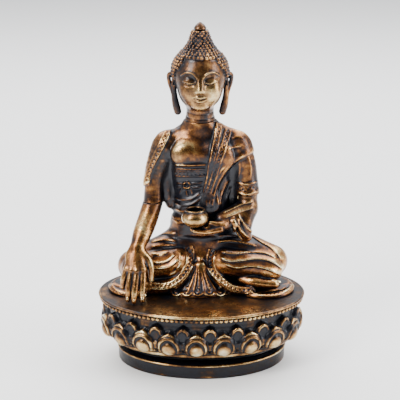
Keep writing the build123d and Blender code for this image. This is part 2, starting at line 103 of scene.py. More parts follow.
class Field:
    """A signed distance on a regular grid: negative inside the metal."""

    def __init__(self, low, high, step):
        self.low = np.array(low, float)
        self.step = step
        self.shape = [int(round((h - l) / step)) + 1 for l, h in zip(low, high)]
        self.d = np.full(self.shape, FAR, np.float32)

    def near(self, low, high, margin=3.5):
        """The grid's part round a box, as slices and open coordinate arrays."""
        first = np.floor((np.array(low) - margin - self.low) / self.step).astype(int)
        last = np.ceil((np.array(high) + margin - self.low) / self.step).astype(int) + 1
        first, last = np.maximum(first, 0), np.minimum(last, self.shape)
        window = tuple(slice(a, max(a, b)) for a, b in zip(first, last))
        x, y, z = [(g * self.step + o).astype(np.float32) for g, o in zip(np.ogrid[window], self.low)]
        return window, x, y, z

    def mix(self, window, dist, soft, carve):
        """Adds a shape to the metal, or carves it away, with a soft seam."""
        old = self.d[window]
        sign = -1 if carve else 1
        new = sign * np.minimum(sign * old, dist)
        if soft:
            seam = np.clip(soft - np.abs(sign * old - dist), 0, None) / soft
            new -= sign * seam * seam * soft / 4
        self.d[window] = new

    def rod(self, a, ra, b, rb, soft=0.0, carve=False):
        """A rod with round ends, tapered from one radius to the other."""
        a, b = np.array(a, float), np.array(b, float)
        window, *place = self.near(np.minimum(a - ra, b - rb), np.maximum(a + ra, b + rb), 1.5 + soft)
        t, away = to_run(place, a, b)
        self.mix(window, away - ra - t * (rb - ra), soft, carve)

    def ball(self, centre, radius, soft=0.0, carve=False):
        self.rod(centre, radius, centre, radius, soft, carve)

    def rope(self, points, radii, soft=0.0, carve=False, per=4):
        """A smooth rope through points, with one radius or one for each point."""
        radii = np.broadcast_to(np.array(radii, float), (len(points),))
        line = curve(np.column_stack([np.array(points, float), radii]), per)
        reach = line[:, 3:]
        low, high = (line[:, :3] - reach).min(0), (line[:, :3] + reach).max(0)
        window, *place = self.near(low, high, 1.5 + soft)
        dist = np.full(self.d[window].shape, FAR, np.float32)
        for p, q in zip(line, line[1:]):
            t, away = to_run(place, p[:3], q[:3])
            dist = np.minimum(dist, away - p[3] - t * (q[3] - p[3]))
        self.mix(window, dist, soft, carve)

    def egg(self, centre, radii, soft=0.0, carve=False, turn=None):
        """An ellipsoid, turned by angles in degrees about X, Y and Z when given."""
        centre, radii = np.array(centre, float), np.array(radii, float)
        reach = np.full(3, radii.max()) if turn else radii
        window, *place = self.near(centre - reach, centre + reach, 1.5 + soft)
        p = [q - c for q, c in zip(place, centre)]
        if turn:
            for axis, angle in enumerate(turn):
                i, j = [(1, 2), (2, 0), (0, 1)][axis]
                c, s = math.cos(math.radians(angle)), math.sin(math.radians(angle))
                p[i], p[j] = c * p[i] + s * p[j], c * p[j] - s * p[i]
        near = np.sqrt(sum((q / r) ** 2 for q, r in zip(p, radii)))
        steep = np.sqrt(sum((q / r**2) ** 2 for q, r in zip(p, radii))) + 1e-6
        self.mix(window, near * (near - 1) / steep, soft, carve)

    def stack(self, sections, soft=0.0, carve=False):
        """A body through level ovals: (height, half width, half depth, centre y, centre x)."""
        s = curve([(*row, 0.0)[:5] for row in sections], 6)
        low = (min(s[:, 4] - s[:, 1]), min(s[:, 3] - s[:, 2]), s[0, 0])
        high = (max(s[:, 4] + s[:, 1]), max(s[:, 3] + s[:, 2]), s[-1, 0])
        window, x, y, z = self.near(low, high, 2.0 + soft)
        level = np.clip(z, s[0, 0], s[-1, 0])
        hx, hy, cy, cx = [np.interp(level, s[:, 0], s[:, k]).astype(np.float32) for k in (1, 2, 3, 4)]
        near = np.sqrt(((x - cx) / hx) ** 2 + ((y - cy) / hy) ** 2)
        steep = np.sqrt(((x - cx) / hx**2) ** 2 + ((y - cy) / hy**2) ** 2) + 1e-6
        side = near * (near - 1) / steep
        self.mix(window, np.maximum(side, np.maximum(s[0, 0] - z, z - s[-1, 0])), soft, carve)

    def raise_by(self, height):
        """Swells the surface by a height given as a function of x, y and z near it."""
        i, j, k = np.nonzero(np.abs(self.d) < 3.2)
        x, y, z = [o + self.step * n for o, n in zip(self.low, (i, j, k))]
        self.d[i, j, k] -= height(x, y, z).astype(np.float32)

    def keep(self, outside):
        """Cuts the metal with a signed distance that is positive where it is to go."""
        _, x, y, z = self.near(self.low, self.low + self.step * (np.array(self.shape) - 1))
        self.d = np.maximum(self.d, outside(x, y, z).astype(np.float32))

    def surface(self):
        """Vertices and quads of the surface, one vertex in each cell that it crosses."""
        d = np.pad(self.d, 1, constant_values=1.0)
        cells = np.array(d.shape) - 1
        total = np.zeros((4, cells.prod()))
        crossings = []
        for axis in range(3):
            a = d[tuple(slice(None, -1) if k == axis else slice(None) for k in range(3))]
            b = d[tuple(slice(1, None) if k == axis else slice(None) for k in range(3))]
            at = np.argwhere((a < 0) != (b < 0))
            va, vb = a[tuple(at.T)], b[tuple(at.T)]
            point = at.astype(float)
            point[:, axis] += va / (va - vb)
            u, v = [k for k in range(3) if k != axis]
            corner = []
            for du, dv in ((0, 0), (1, 0), (1, 1), (0, 1)):
                cell = at.copy()
                cell[:, u] -= du
                cell[:, v] -= dv
                flat = np.ravel_multi_index(tuple(np.clip(cell, 0, cells - 1).T), cells)
                corner.append(flat)
                for k in range(3):
                    total[k] += np.bincount(flat, point[:, k], minlength=total.shape[1])
                total[3] += np.bincount(flat, minlength=total.shape[1])
            quads = np.stack(corner, 1)
            flip = (va < 0) != (axis == 1)
            quads[~flip] = quads[~flip][:, ::-1]
            crossings.append(quads)
        used = np.nonzero(total[3])[0]
        number = np.zeros(total.shape[1], int)
        number[used] = np.arange(len(used))
        verts = (total[:3, used] / total[3, used]).T
        return self.low + self.step * (verts - 1), number[np.vstack(crossings)]


class Relief:
    """Drapery lines and borders as heights drawn on the plane y = 0, over x and an upright measure w."""

    def __init__(self, low, high, step=0.2):
        self.low, self.step = np.array(low, float), step
        self.x = np.arange(low[0], high[0], step)
        self.w = np.arange(low[1], high[1], step)
        self.h = np.zeros((len(self.x), len(self.w)), np.float32)

    def window(self, points, margin):
        low, high = points.min(0) - margin, points.max(0) + margin
        i = slice(*np.searchsorted(self.x, [low[0], high[0]]))
        j = slice(*np.searchsorted(self.w, [low[1], high[1]]))
        return i, j, self.x[i, None], self.w[None, j]

    def distance(self, points, margin):
        """Distance to a smooth line, the length along it, and which side of it, over the window round it."""
        line = curve(points, 5)
        i, j, x, w = self.window(line, margin)
        best = np.full((x.shape[0], w.shape[1]), 99.0)
        along, side = np.zeros_like(best), np.ones_like(best)
        walked = 0.0
        for p, q in zip(line, line[1:]):
            run = q - p
            length = float(np.hypot(*run))
            t, away = to_run((x, w), p, q)
            closer = away < best
            best = np.where(closer, away, best)
            along = np.where(closer, walked + t * length, along)
            side = np.where(closer, np.sign(run[0] * (w - p[1]) - run[1] * (x - p[0])), side)
            walked += length
        return (i, j), best, along, walked, side

    def ridge(self, points, width, height):
        """A rounded ridge along a line, or a groove when the height is negative; it fades at its ends."""
        where, away, along, whole, _ = self.distance(points, width + 0.5)
        fade = ease(along / 2.0) * ease((whole - along) / 2.0)
        profile = height * np.sqrt(np.clip(1 - (2 * away / width) ** 2, 0, 1)) * fade
        pick = np.maximum if height > 0 else np.minimum
        self.h[where] += pick(profile, 0).astype(np.float32)

    def fold(self, points, width, height):
        """A fold of cloth: sharp on the right of the line, and easing away on its left."""
        where, away, along, whole, side = self.distance(points, 2 * width)
        fade = ease(along / 3.0) * ease((whole - along) / 3.0)
        soft = np.exp(-2 * (away / width) ** 2)
        sharp = ease(1 - away / 0.55)
        self.h[where] += (height * fade * np.where(side > 0, soft, sharp)).astype(np.float32)

    def fill(self, points, height, edge=0.8):
        """Raises all that a closed outline holds."""
        line = curve(points + points[:1], 4)
        i, j, x, w = self.window(line, 1)
        inside = np.zeros((x.shape[0], w.shape[1]), bool)
        best = np.full(inside.shape, 99.0)
        for p, q in zip(line, line[1:]):
            run = q - p
            if abs(run[1]) > 1e-9:
                inside ^= ((w >= p[1]) != (w >= q[1])) & (x < p[0] + (w - p[1]) * run[0] / run[1])
            best = np.minimum(best, to_run((x, w), p, q)[1])
        self.h[i, j] += (height * ease(0.5 + np.where(inside, best, -best) / edge)).astype(np.float32)

    def border(self, points, width, height=0.55, motif=2.6):
        """A decorated hem: a raised line on each side and a running scroll of small rings between."""
        where, away, along, whole, _ = self.distance(points, width)
        fade = ease(along / 1.0) * ease((whole - along) / 1.0)
        lines = np.clip(1 - ((away - width / 2 + 0.35) / 0.45) ** 2, 0, 1) ** 0.5
        step = (along / motif) % 1.0 - 0.5
        swing = 0.22 * width * np.sin(2 * np.pi * along / motif)
        ring = np.hypot(step * motif, away) - 0.26 * width
        scroll = np.clip(1 - (ring / 0.38) ** 2, 0, 1) ** 0.5
        off_seed = np.hypot((np.abs(step) - 0.5) * motif, away - swing * 0.2)
        seed = np.clip(1 - (off_seed / 0.5) ** 2, 0, 1) ** 0.5
        inner = np.where(away < width / 2 - 0.5, np.maximum(scroll, seed), 0)
        self.h[where] += (height * fade * np.maximum(lines, 0.8 * inner)).astype(np.float32)

    def dots(self, points, spacing, radius, height):
        """A row of round dots along a line."""
        where, away, along, _, _ = self.distance(points, radius + 0.5)
        step = ((along / spacing) % 1.0 - 0.5) * spacing
        dome = np.clip(1 - (step**2 + away**2) / radius**2, 0, 1) ** 0.5
        self.h[where] += (height * dome).astype(np.float32)

    def at(self, x, y, z):
        """Heights thrown onto points of the body."""
        scale = THROW_Y / (THROW_Y + y)
        u = (x * scale - self.low[0]) / self.step
        w = (THROW_Z + (z - THROW_Z) * scale - self.low[1]) / self.step
        i = np.clip(u.astype(int), 0, self.h.shape[0] - 2)
        j = np.clip(w.astype(int), 0, self.h.shape[1] - 2)
        fu, fw = np.clip(u - i, 0, 1), np.clip(w - j, 0, 1)
        low = self.h[i, j] * (1 - fw) + self.h[i, j + 1] * fw
        high = self.h[i + 1, j] * (1 - fw) + self.h[i + 1, j + 1] * fw
        return low * (1 - fu) + high * fu


# ---------------------------------------------------------------- relief drawn on the front
def torso_front(r):
    """Robe, borders, chest band and belt, drawn over x and w."""
    r.fill([(-15.8, 119.6), (3.5, 119.6), (2, 108), (0, 100), (-4, 86), (-17, 86)], 0.35)
    opening = [(6.6, 135), (5.2, 127), (3.8, 120), (2.8, 112), (1.2, 105)]
    r.fill([(8.3, 144), *opening, (-0.5, 99), (1, 88), (34, 88), (40, 112), (34, 146)], 0.7)
    r.fill([(8.3, 146), *opening, (0.5, 99), (2, 90), (10.4, 92), (9.6, 102), (11.8, 109.5), (16.0, 116.5),
            (22, 122.6), (29, 126.4), (34, 132), (34, 146)], 0.9)
    r.fill([(-16.5, 143), (-19.6, 134), (-23.4, 126.5), (-27, 119.5), (-29.8, 113), (-31.3, 108), (-45, 106),
            (-45, 146)], 0.9)
    r.border([(-18.8, 140), (-22.4, 132.5), (-26, 125), (-29, 118), (-31.3, 112), (-32.6, 107)], 3.9, 0.42)
    r.border([(10.4, 143), (8.9, 135), (7.3, 127.5), (5.8, 120), (4.6, 112.5), (3, 106), (0.8, 100.5)], 3.2)
    r.border([(15.6, 141), (13.6, 133), (11.2, 125.5), (9.0, 118.5), (7.1, 112), (5.2, 106), (3.4, 101)], 3.6)
    r.fold([(6.6, 92), (7.4, 100), (10.2, 108.4), (14.6, 115.4), (20.4, 121.2), (26, 124.6)], 4.2, 0.9)
    r.fold([(4.6, 94), (5.2, 101), (7.2, 107.6), (10.6, 114.0), (14.4, 119.2)], 1.8, 0.5)
    r.fold([(11.4, 93), (11.6, 99), (13.8, 105.6), (17.0, 111.0)], 3.0, 0.7)
    r.fold([(15.4, 95), (15.6, 100.4), (18.0, 106.6)], 2.2, 0.6)
    r.fold([(3.4, 92), (3.2, 97.6), (4.4, 103)], 1.6, 0.5)
    r.fold([(14.2, 127.4), (19, 130), (24.5, 130.6)], 2.2, 0.5)
    r.fold([(16.8, 134.4), (21, 136), (25, 134.6)], 2.0, 0.4)
    r.ridge([(-16, 119.3), (-7, 118.8), (3.6, 119.2)], 1.3, 0.6)
    r.ridge([(-16, 116.9), (-7, 116.4), (3.2, 116.8)], 1.2, 0.55)
    r.border([(-15.8, 114.2), (-7, 113.7), (2.6, 114.1)], 3.9, 0.5, 2.3)
    r.ridge([(-15.4, 108.4), (-7, 107.8), (1.4, 108.6)], 1.5, 0.6)
    r.ridge([(-15.4, 105.9), (-7, 105.3), (0.8, 106)], 1.3, 0.55)
    ring = [(-8.7 + 1.9 * math.cos(a), 106.9 + 1.9 * math.sin(a)) for a in np.linspace(0, 2 * math.pi, 9)]
    r.ridge(ring + ring[1:3], 1.3, 1.1)
    r.ridge([(-7.2, 105.6), (-5.8, 103.4), (-5.2, 100.6)], 1.2, 0.7)
    r.ridge([(-8.6, 105.2), (-8.8, 102.5), (-7.8, 99.8)], 1.2, 0.7)
    r.ridge([(-10.2, 105.6), (-12.2, 103.6), (-13, 101.2)], 1.1, 0.6)
    swag = [(-17, 99.8), (-11.5, 97.8), (-6, 98.2), (-2, 100.6), (0.6, 103.4)]
    for drop in (0, 3.4, 7.2):
        r.fold([(x, w - drop) for x, w in swag], 1.8, 0.6)
    r.ridge([(19.5, 108.9), (26, 107.5), (33.5, 109.5)], 1.2, 0.6)
    r.ridge([(19.8, 102.9), (26, 101.4), (33.8, 103.6)], 1.2, 0.6)
    r.border([(20, 106.0), (26, 104.4), (33.6, 106.6)], 4.4, 0.34, 3.0)
    r.fold([(21.4, 110), (22.4, 117), (21.6, 123)], 1.8, 0.35)
    r.fold([(28.6, 110), (28.9, 118), (27.2, 125.6)], 2.2, 0.35)


def legs_front(r):
    """Hems, pleats and folds over the crossed legs, drawn over x and w."""
    right_hem = [(-8.0, 69.5), (-6.7, 64.7), (-7.3, 58), (-11.1, 50.6), (-17, 45.2), (-24, 43.8), (-31, 44.4)]
    left_hem = [(6.6, 67.5), (5.3, 61), (6.2, 54.8), (11, 48.2), (18.5, 42.6), (26, 41.2), (31, 41.8)]
    r.border(right_hem, 4.6)
    r.border(left_hem, 4.4)
    r.fold([(-35, 60.5), (-27, 58.6), (-20, 60), (-15, 65)], 3.0, 1.1)
    r.fold([(-32, 56.4), (-25, 55.0), (-18.4, 56.6), (-12.8, 61.5)], 2.4, 0.9)
    r.fold([(-31, 65.2), (-24, 63.6), (-19, 66.4)], 2.2, 0.7)
    r.fold([(-13.2, 66.4), (-12.6, 60), (-15.6, 53.6), (-21, 50)], 1.6, 0.5)
    r.fold([(10.2, 62.4), (16, 59.8), (24, 60.2), (33, 61.4), (42, 59.4), (49, 54)], 3.0, 1.2)
    r.fold([(10.8, 66.4), (18, 64.6), (27, 65.4), (37, 65.0), (45, 61.6)], 2.6, 0.9)
    r.fold([(13.6, 58.0), (20.5, 55.4), (29, 56.4), (38, 55.0), (47, 51.0)], 2.2, 0.9)
    r.fold([(8.6, 71.6), (17, 72.6), (26, 71.2), (33, 69.0)], 2.4, 1.0)
    r.fold([(9.4, 75.2), (16, 76.0), (23, 75.4)], 2.0, 0.6)
    r.fold([(27, 77.6), (34.5, 72.4), (42, 67.6), (48, 60)], 2.6, 0.8)
    r.fold([(-30.5, 71.6), (-22.5, 73.2), (-14, 72.0)], 2.4, 0.9)
    r.fold([(-28.5, 75.6), (-21, 77.4), (-14.5, 76.6)], 2.2, 0.7)
    r.fold([(-30.5, 68.8), (-22.5, 69.6), (-13.2, 69.6)], 1.8, 0.7)
    for k in range(11):
        x = -19.5 + 3.55 * k
        w = 37.2 + 0.012 * (x + 1.8) ** 2
        r.fold([(-1.6 + 0.1 * x, 60.5), (-1.4 + 0.5 * (x + 1.4), 50), (x, w + 2)], 1.7, 0.7)
    for k in range(5):
        x = -15.4 + 6.7 * k
        arc = [(x - 3.0, 41.2), (x - 2.4, 39.0), (x, 37.9), (x + 2.4, 39.0), (x + 3.0, 41.2)]
        r.ridge(arc, 1.3, 0.9)
        r.ridge([(x - 1.3, 41.4), (x, 39.8), (x + 1.3, 41.4)], 1.1, 0.7)
        r.dots([(x - 1.0, 42.9), (x + 1.0, 42.9)], 2.0, 0.8, 0.7)
    r.border([(29, 42.4), (34, 39.6), (40, 38.6), (46, 39.6), (50.5, 42.4), (53.4, 46)], 3.0, 0.45, 2.4)
    r.border([(-55, 45), (-52, 41), (-46, 38.6), (-40, 38.2)], 3.0, 0.45, 2.4)


def sleeve_front(r):
    """Folds of the left sleeve, drawn over x and w."""
    r.fold([(8, 85.4), (16, 88.0), (24, 91.4), (31.5, 93.4)], 2.2, 0.6)
    r.fold([(10, 89.0), (17, 92.0), (24, 95.4), (31.5, 97.4)], 2.4, 0.6)
    r.fold([(28.6, 74), (23.8, 79), (20.6, 84), (18.4, 88.6)], 1.7, 0.9)
    r.fold([(31.4, 77.6), (27.2, 81), (23.8, 85.4), (21.6, 90)], 1.7, 0.9)
    r.fold([(25.2, 71.4), (21.4, 77), (18.2, 83)], 1.5, 0.7)


def back_folds(x, y, z):
    """Soft diagonal folds of the robe across the back."""
    slant = z + 0.75 * x
    waves = 0.5 * np.sin(slant / 2.6 + 0.8 * np.sin(z / 11)) + 0.25 * np.sin(slant / 1.3 + x / 5)
    low = 0.45 * np.sin(np.abs(x) / 3.1 + z / 4.2)
    return np.where(z > 80, waves, low) * 0.55


def front_weight(y, middle):
    """1 on the front, 0 on the back, and a short change at the sides."""
    return ease((middle - y) / 5.0 + 0.5)


def blend(share, a, b):
    return share * a + (1 - share) * b


# ---------------------------------------------------------------- castings
TORSO = [
    (76.0, 17.5, 10.8, 12.4),
    (84.0, 17.0, 10.6, 12.0),
    (92.0, 16.0, 10.2, 12.0),
    (102.0, 16.0, 10.2, 12.0),
    (112.0, 18.4, 10.8, 12.2),
    (121.0, 20.6, 11.2, 12.6),
    (128.0, 21.0, 10.4, 13.0),
    (134.0, 17.0, 9.0, 13.2),
    (138.5, 11.8, 8.4, 13.0, -0.3),
    (143.0, 9.1, 8.5, 13.4, -0.8),
    (148.0, 8.3, 8.4, 13.4, -0.8),
]
LAP = [
    (41.5, 44.0, 15.5, 15.5),
    (50.0, 47.0, 16.0, 14.8),
    (58.0, 43.0, 15.5, 14.8),
    (66.0, 31.0, 13.4, 15.0),
    (74.0, 20.5, 11.4, 14.0),
    (84.0, 17.0, 10.6, 12.0),
]
FAN = [
    (41.5, 19.0, 12.6, -1.0, -1.6),
    (43.2, 18.0, 11.6, -1.0, -1.6),
    (46.0, 13.0, 9.4, -0.5, -1.2),
    (51.0, 7.5, 6.6, 0.0, -1.0),
    (58.0, 3.4, 4.0, 1.0, -0.8),
    (62.0, 1.6, 2.4, 2.0, -0.8),
]


def sculpt_body(f):
    """Torso, upper arms, lap, leg rolls, fan and hems, all as one flowing shape."""
    f.stack(TORSO)
    f.egg((-9.0, 4.6, 124.5), (8.8, 4.6, 7.4), 4)
    f.egg((8.5, 4.6, 124.0), (8.8, 4.6, 7.4), 4)
    f.egg((0.0, 5.0, 93.0), (12.0, 5.0, 10.0), 4)
    f.rope([(-20.8, 13, 126.6), (-25.4, 12, 116), (-27.9, 10.6, 106), (-28.6, 9, 94.5), (-30, 6, 88)],
           [8.3, 6.6, 5.5, 5.8, 5.6], 1.6)
    f.rope([(20.8, 13, 126.6), (24.6, 12, 117), (26.2, 10.8, 107), (27.2, 9.2, 98)], [8.3, 6.9, 6.4, 6.6],
           1.4)
    f.rod((-10, 13, 135.6), 3.4, (-20, 13, 130.6), 5.6, 3)
    f.rod((10, 13, 135.6), 3.4, (20, 13, 130.6), 5.6, 3)
    f.rope([(19.0, 13.6, 121), (19.6, 14.0, 108), (18.4, 13.4, 97), (15.4, 12.8, 88)],
           [6.0, 5.8, 4.8, 3.6], 2.5)
    f.rope([(-19.0, 14.0, 121), (-20.4, 14.2, 110), (-20.4, 13.6, 100), (-18.0, 13.0, 92.0)],
           [5.4, 5.2, 4.8, 3.6], 2.5)
    f.rope([(18.4, 2.5, 120), (17.6, 3.5, 108), (18.4, 3.2, 96)], [1.4, 2.6, 2.4], 2.5, carve=True)
    f.rope([(-20.0, 3.0, 120), (-20.6, 4.2, 108), (-20.6, 4.0, 96)], [1.2, 2.0, 1.8], 2.0, carve=True)
    for side in (-1, 1):
        f.rod((side * 4, 12.8, 140.6), 3.0, (side * 15, 13.2, 133.2), 3.2, 4)
    f.stack(LAP, 4)
    f.rod((-11, 13, 66.5), 10.8, (-41, 9, 54.0), 9.4, 4)
    f.rod((11, 13, 68.6), 10.8, (42, 9, 57.0), 9.7, 4)
    f.rod((-39, 3.4, 54.0), 9.2, (-13.6, 0.4, 59.8), 8.3, 1.0)
    f.rod((39.6, 3.4, 54.6), 9.2, (13.6, 0.4, 59.6), 8.2, 1.0)
    f.rope([(-8.8, -2.6, 56), (-13.5, -5.4, 50), (-21, -6.0, 46), (-31, -4.6, 45)],
           [3.0, 3.6, 4.4, 4.8], 2.5)
    f.rope([(7.4, -2.6, 55), (12.5, -6.0, 48.4), (20, -7.4, 44.6), (29, -6.8, 43.6)],
           [2.6, 2.8, 3.0, 2.8], 2.2)
    f.rod((-24, -9.6, 53.6), 1.4, (-15.4, -8.4, 56.4), 2.0, 1.2, carve=True)
    f.stack(FAN, 1.5)
    sculpt_foot(f)
    hem = [(41.0, 55.5, 18.0, 8.5), (42.4, 55.0, 17.0, 8.8), (43.6, 53.0, 15.0, 9.8)]
    f.stack(hem, 0.8)
    f.rope([(28, -10.2, 42.4), (35, -12.8, 42.2), (42, -12.4, 42.3), (48, -9.4, 42.4), (52.6, -4, 42.6),
            (54.2, 2, 43)], [1.7, 1.8, 1.6, 1.8, 1.6, 1.5], 2.6)
    f.rope([(-54, 3, 43), (-51.6, -3.4, 42.6), (-47.6, -7.4, 42.4), (-42, -9.2, 42.4), (-34, -10.4, 42.4)],
           [1.8, 2.3, 2.2, 2.1, 1.8], 1.8)
    f.rope([(-52, -1, 45.0), (-48, -4.6, 45.2), (-44, -5.6, 44.8)], 1.4, 2.0)


def sculpt_foot(f):
    """The foot that shows under the left leg's roll, toes towards the knee."""
    f.rod((9, -9.6, 55.6), 1.2, (34, -6.6, 51.2), 2.2, 1.2, carve=True)
    f.rope([(24, -3.0, 49.6), (31, -5.8, 49.0), (37, -6.6, 48.2), (43, -6.2, 47.6)],
           [2.6, 3.3, 2.9, 2.9], 1.0)
    for k in range(5):
        start = (41.6 + 0.4 * k, -6.6 + 0.5 * k, 50.0 - 1.05 * k)
        f.rod(start, 1.0, (46.4 - 0.6 * k, -5.0 + 0.5 * k, 48.6 - 1.0 * k), 0.8, 0.3)


def right_hand(f):
    """Bare right forearm and hand, reaching down over the shin to the throne."""
    f.rope([(-28.0, 9.8, 100), (-28.6, 9, 94.5), (-31.4, 3.8, 86), (-34.6, -3, 78.6), (-37.2, -8.4, 72.6)],
           [5.6, 5.8, 5.9, 5.6, 4.3], 0.6, per=6)
    f.egg((-38.0, -11.8, 66.5), (6.4, 3.0, 7.6), 2.4, turn=(-24, 0, 0))
    wrist = (-37.6, -9.6, 71)
    fingers = [
        ((-43.4, -14.2, 60.6), (-45.4, -15.8, 54.5), (-46.0, -15.6, 49.2), 1.75),
        ((-40.6, -15.8, 60.2), (-42.2, -19.4, 51.0), (-42.8, -21.0, 43.6), 1.85),
        ((-37.4, -16.6, 60.2), (-38.6, -21.0, 50.2), (-39.2, -22.8, 43.2), 1.95),
        ((-34.0, -16.0, 60.6), (-34.2, -20.0, 51.0), (-34.4, -21.8, 43.8), 1.95),
    ]
    for knuckle, joint, tip, radius in fingers:
        f.rod(wrist, 2.6, knuckle, radius + 0.45, 1.6)
        f.rope([knuckle, joint, tip], [radius + 0.25, radius, radius - 0.45], 0.35)
        f.ball(np.array(knuckle) + (0, -0.9, 0.3), 1.3, 1.0)
        f.egg(np.array(tip) + (0, -1.2, 0.9), (0.95, 0.5, 1.5), 0.3)
    f.rope([wrist, (-31.8, -11.4, 66), (-29.6, -13.0, 60.4), (-29.2, -14.4, 53.6)],
           [2.8, 2.6, 2.15, 1.4], 1.2)
    f.rope([(-31.6, 8, 98.2), (-30.4, 3.6, 97.2), (-26, 3.4, 97.2)], 0.5, 0.5)


def left_hand(f):
    """Left forearm in its sleeve, and the hand palm up under the bowl."""
    f.rope([(27.2, 9.2, 103), (27.0, 8.8, 96), (26.4, 7.4, 90.6), (19.5, 2.8, 88.2), (12.0, -1.4, 86.4)],
           [6.2, 6.1, 6.4, 5.4, 4.4], 0.8, per=5)
    f.rope([(27.4, 6.0, 90), (25.6, 2.6, 84.5), (25.0, 0.4, 79.5), (26.4, 1.2, 75)],
           [5.6, 5.0, 4.4, 3.4], 2.0)
    f.rope([(19.8, 1.0, 88.6), (20.6, -2.6, 86.4), (22.0, -3.4, 82.4), (24.6, -2.8, 77.6)], 1.3, 0.8)
    f.rope([(16.4, -0.6, 88.4), (17.8, -4.8, 86.8), (19.4, -5.6, 83.6), (19.0, -3.0, 80.4)], 1.0, 0.5)
    f.rope([(15.0, -3.0, 84.6), (10.0, -5.6, 83.8), (4.0, -7.0, 83.2)], [3.6, 3.7, 3.2], 1.2)
    for k in range(4):
        y = -9.6 + 2.15 * k
        z = 82.6 if k else 82.4
        tip = (-5.6 if k else -4.2, y + 0.6, z - 0.6)
        finger = [(11, y + 0.8, z + 0.4), (7, y - 0.2, z - 0.2), (2, y, z - 1.0), tip]
        f.rope(finger, [1.9, 1.75, 1.6, 1.1], 0.3)
    f.rope([(13.0, -6.4, 84.4), (8.6, -7.8, 85.8), (5.2, -8.2, 86.8)], [2.0, 1.5, 1.05], 1.0)
    f.rod((BOWL_X, BOWL_Y, BOWL_Z + 8), 7.4, (BOWL_X, BOWL_Y, BOWL_Z + 14), 7.4, 0, carve=True)
    f.keep(lambda x, y, z: np.minimum(z - BOWL_Z + 0.05, 8.0 - np.hypot(x - BOWL_X, y - BOWL_Y)))


# ---------------------------------------------------------------- head
HEAD = np.array([LEAN_X, 12.5, 166.0])


def spot(x, y, z):
    """A point given from the middle of the head."""
    return HEAD + (x, y, z)


def spots(side, points):
    """Several such points, mirrored where the side is -1."""
    return [spot(side * x, y, z) for x, y, z in points]


def sculpt_head(f):
    """Neck, skull and cheeks, with the features of the face and the two creases of the neck."""
    neck = [(140, 10.6, 8.6, 13.2), (143, 9.1, 8.5, 13.4), (147, 8.1, 8.4, 13.4), (153, 8.0, 8.6, 13.2)]
    f.stack([(*row, LEAN_X) for row in neck])
    f.egg(spot(0, 1.6, 5.4), (15.5, 15.4, 14.2), 2)
    f.egg(spot(0, -1.6, 0.4), (13.9, 13.3, 15.2), 2)
    f.egg(spot(0, -4.4, -7.4), (10.6, 9.0, 8.0), 4)
    for side in (-1, 1):
        f.egg(spot(side * 6.6, -9.6, -3.6), (4.6, 3.6, 5.2), 3)
        sculpt_eye(f, side)
        sculpt_ear(f, side)
    sculpt_nose_and_mouth(f)
    for z in (148.6, 145.6):
        turns = np.linspace(-1.9, 1.9, 9)
        ring = [(LEAN_X + 8.2 * math.sin(a), 12.7 - 8.0 * math.cos(a), z - 0.8 * math.cos(a)) for a in turns]
        f.rope(ring, 0.35, 0.4, carve=True)


def sculpt_eye(f, side):
    """A downcast, half-closed eye under an arched brow."""
    f.egg(spot(side * 5.6, -14.6, 2.6), (4.2, 1.7, 2.2), 2.2, carve=True)
    f.egg(spot(side * 5.6, -11.6, 2.3), (3.9, 2.3, 2.3), 0.9)
    f.rope(spots(side, [(2.2, -13.3, 1.7), (5.4, -14.0, 0.8), (9.4, -11.9, 1.7)]), 0.3, 0.2, carve=True)
    f.rope(spots(side, [(2.2, -13.4, 2.2), (5.4, -14.1, 1.4), (9.6, -11.8, 2.3)]), 0.3, 0.4)
    brow = [(1.9, -14.3, 4.9), (4.2, -14.2, 7.1), (7.8, -12.7, 7.5), (10.8, -10.3, 5.6)]
    f.rope(spots(side, brow), [0.3, 0.42, 0.4, 0.2], 1.0)


def sculpt_ear(f, side):
    """A long-lobed ear that stands a little off the head."""
    rim = [(14.4, -1.8, 1.6), (16.2, -1.4, 4.6), (18.0, 0.2, 3.6), (17.8, 1.0, -0.6), (16.4, 0.8, -5.0),
           (15.0, 0.4, -9.5)]
    f.rope(spots(side, rim), [0.9, 1.1, 1.2, 1.2, 1.2, 1.4], 0.3)
    lobe = [(14.8, -0.6, -3.0), (14.8, 0.2, -9.0), (14.0, 0.4, -14.0), (13.0, 0.4, -18.0)]
    f.rope(spots(side, lobe), [1.1, 1.8, 2.2, 2.15], 0.5)
    f.rope(spots(side, [(15.4, -0.6, 1.8), (15.9, -0.2, -2.0), (15.0, -0.2, -5.4)]), 0.8, 0.3)
    f.egg(spot(side * 14.6, 2.2, -1.0), (1.6, 2.4, 5.6), 1.0)


def sculpt_nose_and_mouth(f):
    f.rope(spots(1, [(0, -13.2, 4.6), (0, -14.2, 1.6), (0, -15.4, -2.4)]), [1.2, 1.5, 1.9], 2.6)
    for side in (-1, 1):
        f.ball(spot(side * 1.75, -14.8, -3.2), 1.05, 0.9)
        f.ball(spot(side * 0.85, -16.0, -4.3), 0.38, 0.2, carve=True)
    upper_lip = [(-4.2, -12.7, -6.9), (-1.6, -14.3, -6.5), (0, -14.5, -6.9), (1.6, -14.3, -6.5),
                 (4.2, -12.7, -6.9)]
    f.rope(spots(1, upper_lip), [0.4, 0.85, 0.8, 0.85, 0.4], 0.8)
    f.rope(spots(1, [(-3.2, -13.2, -8.2), (0, -14.1, -8.9), (3.2, -13.2, -8.2)]), [0.5, 1.1, 0.5], 0.9)
    f.rope(spots(1, [(-4.8, -12.8, -6.9), (0, -15.3, -7.75), (4.8, -12.8, -6.9)]), 0.28, 0.2, carve=True)
    f.egg(spot(0, -11.2, -12.6), (3.6, 2.4, 2.3), 2.2)


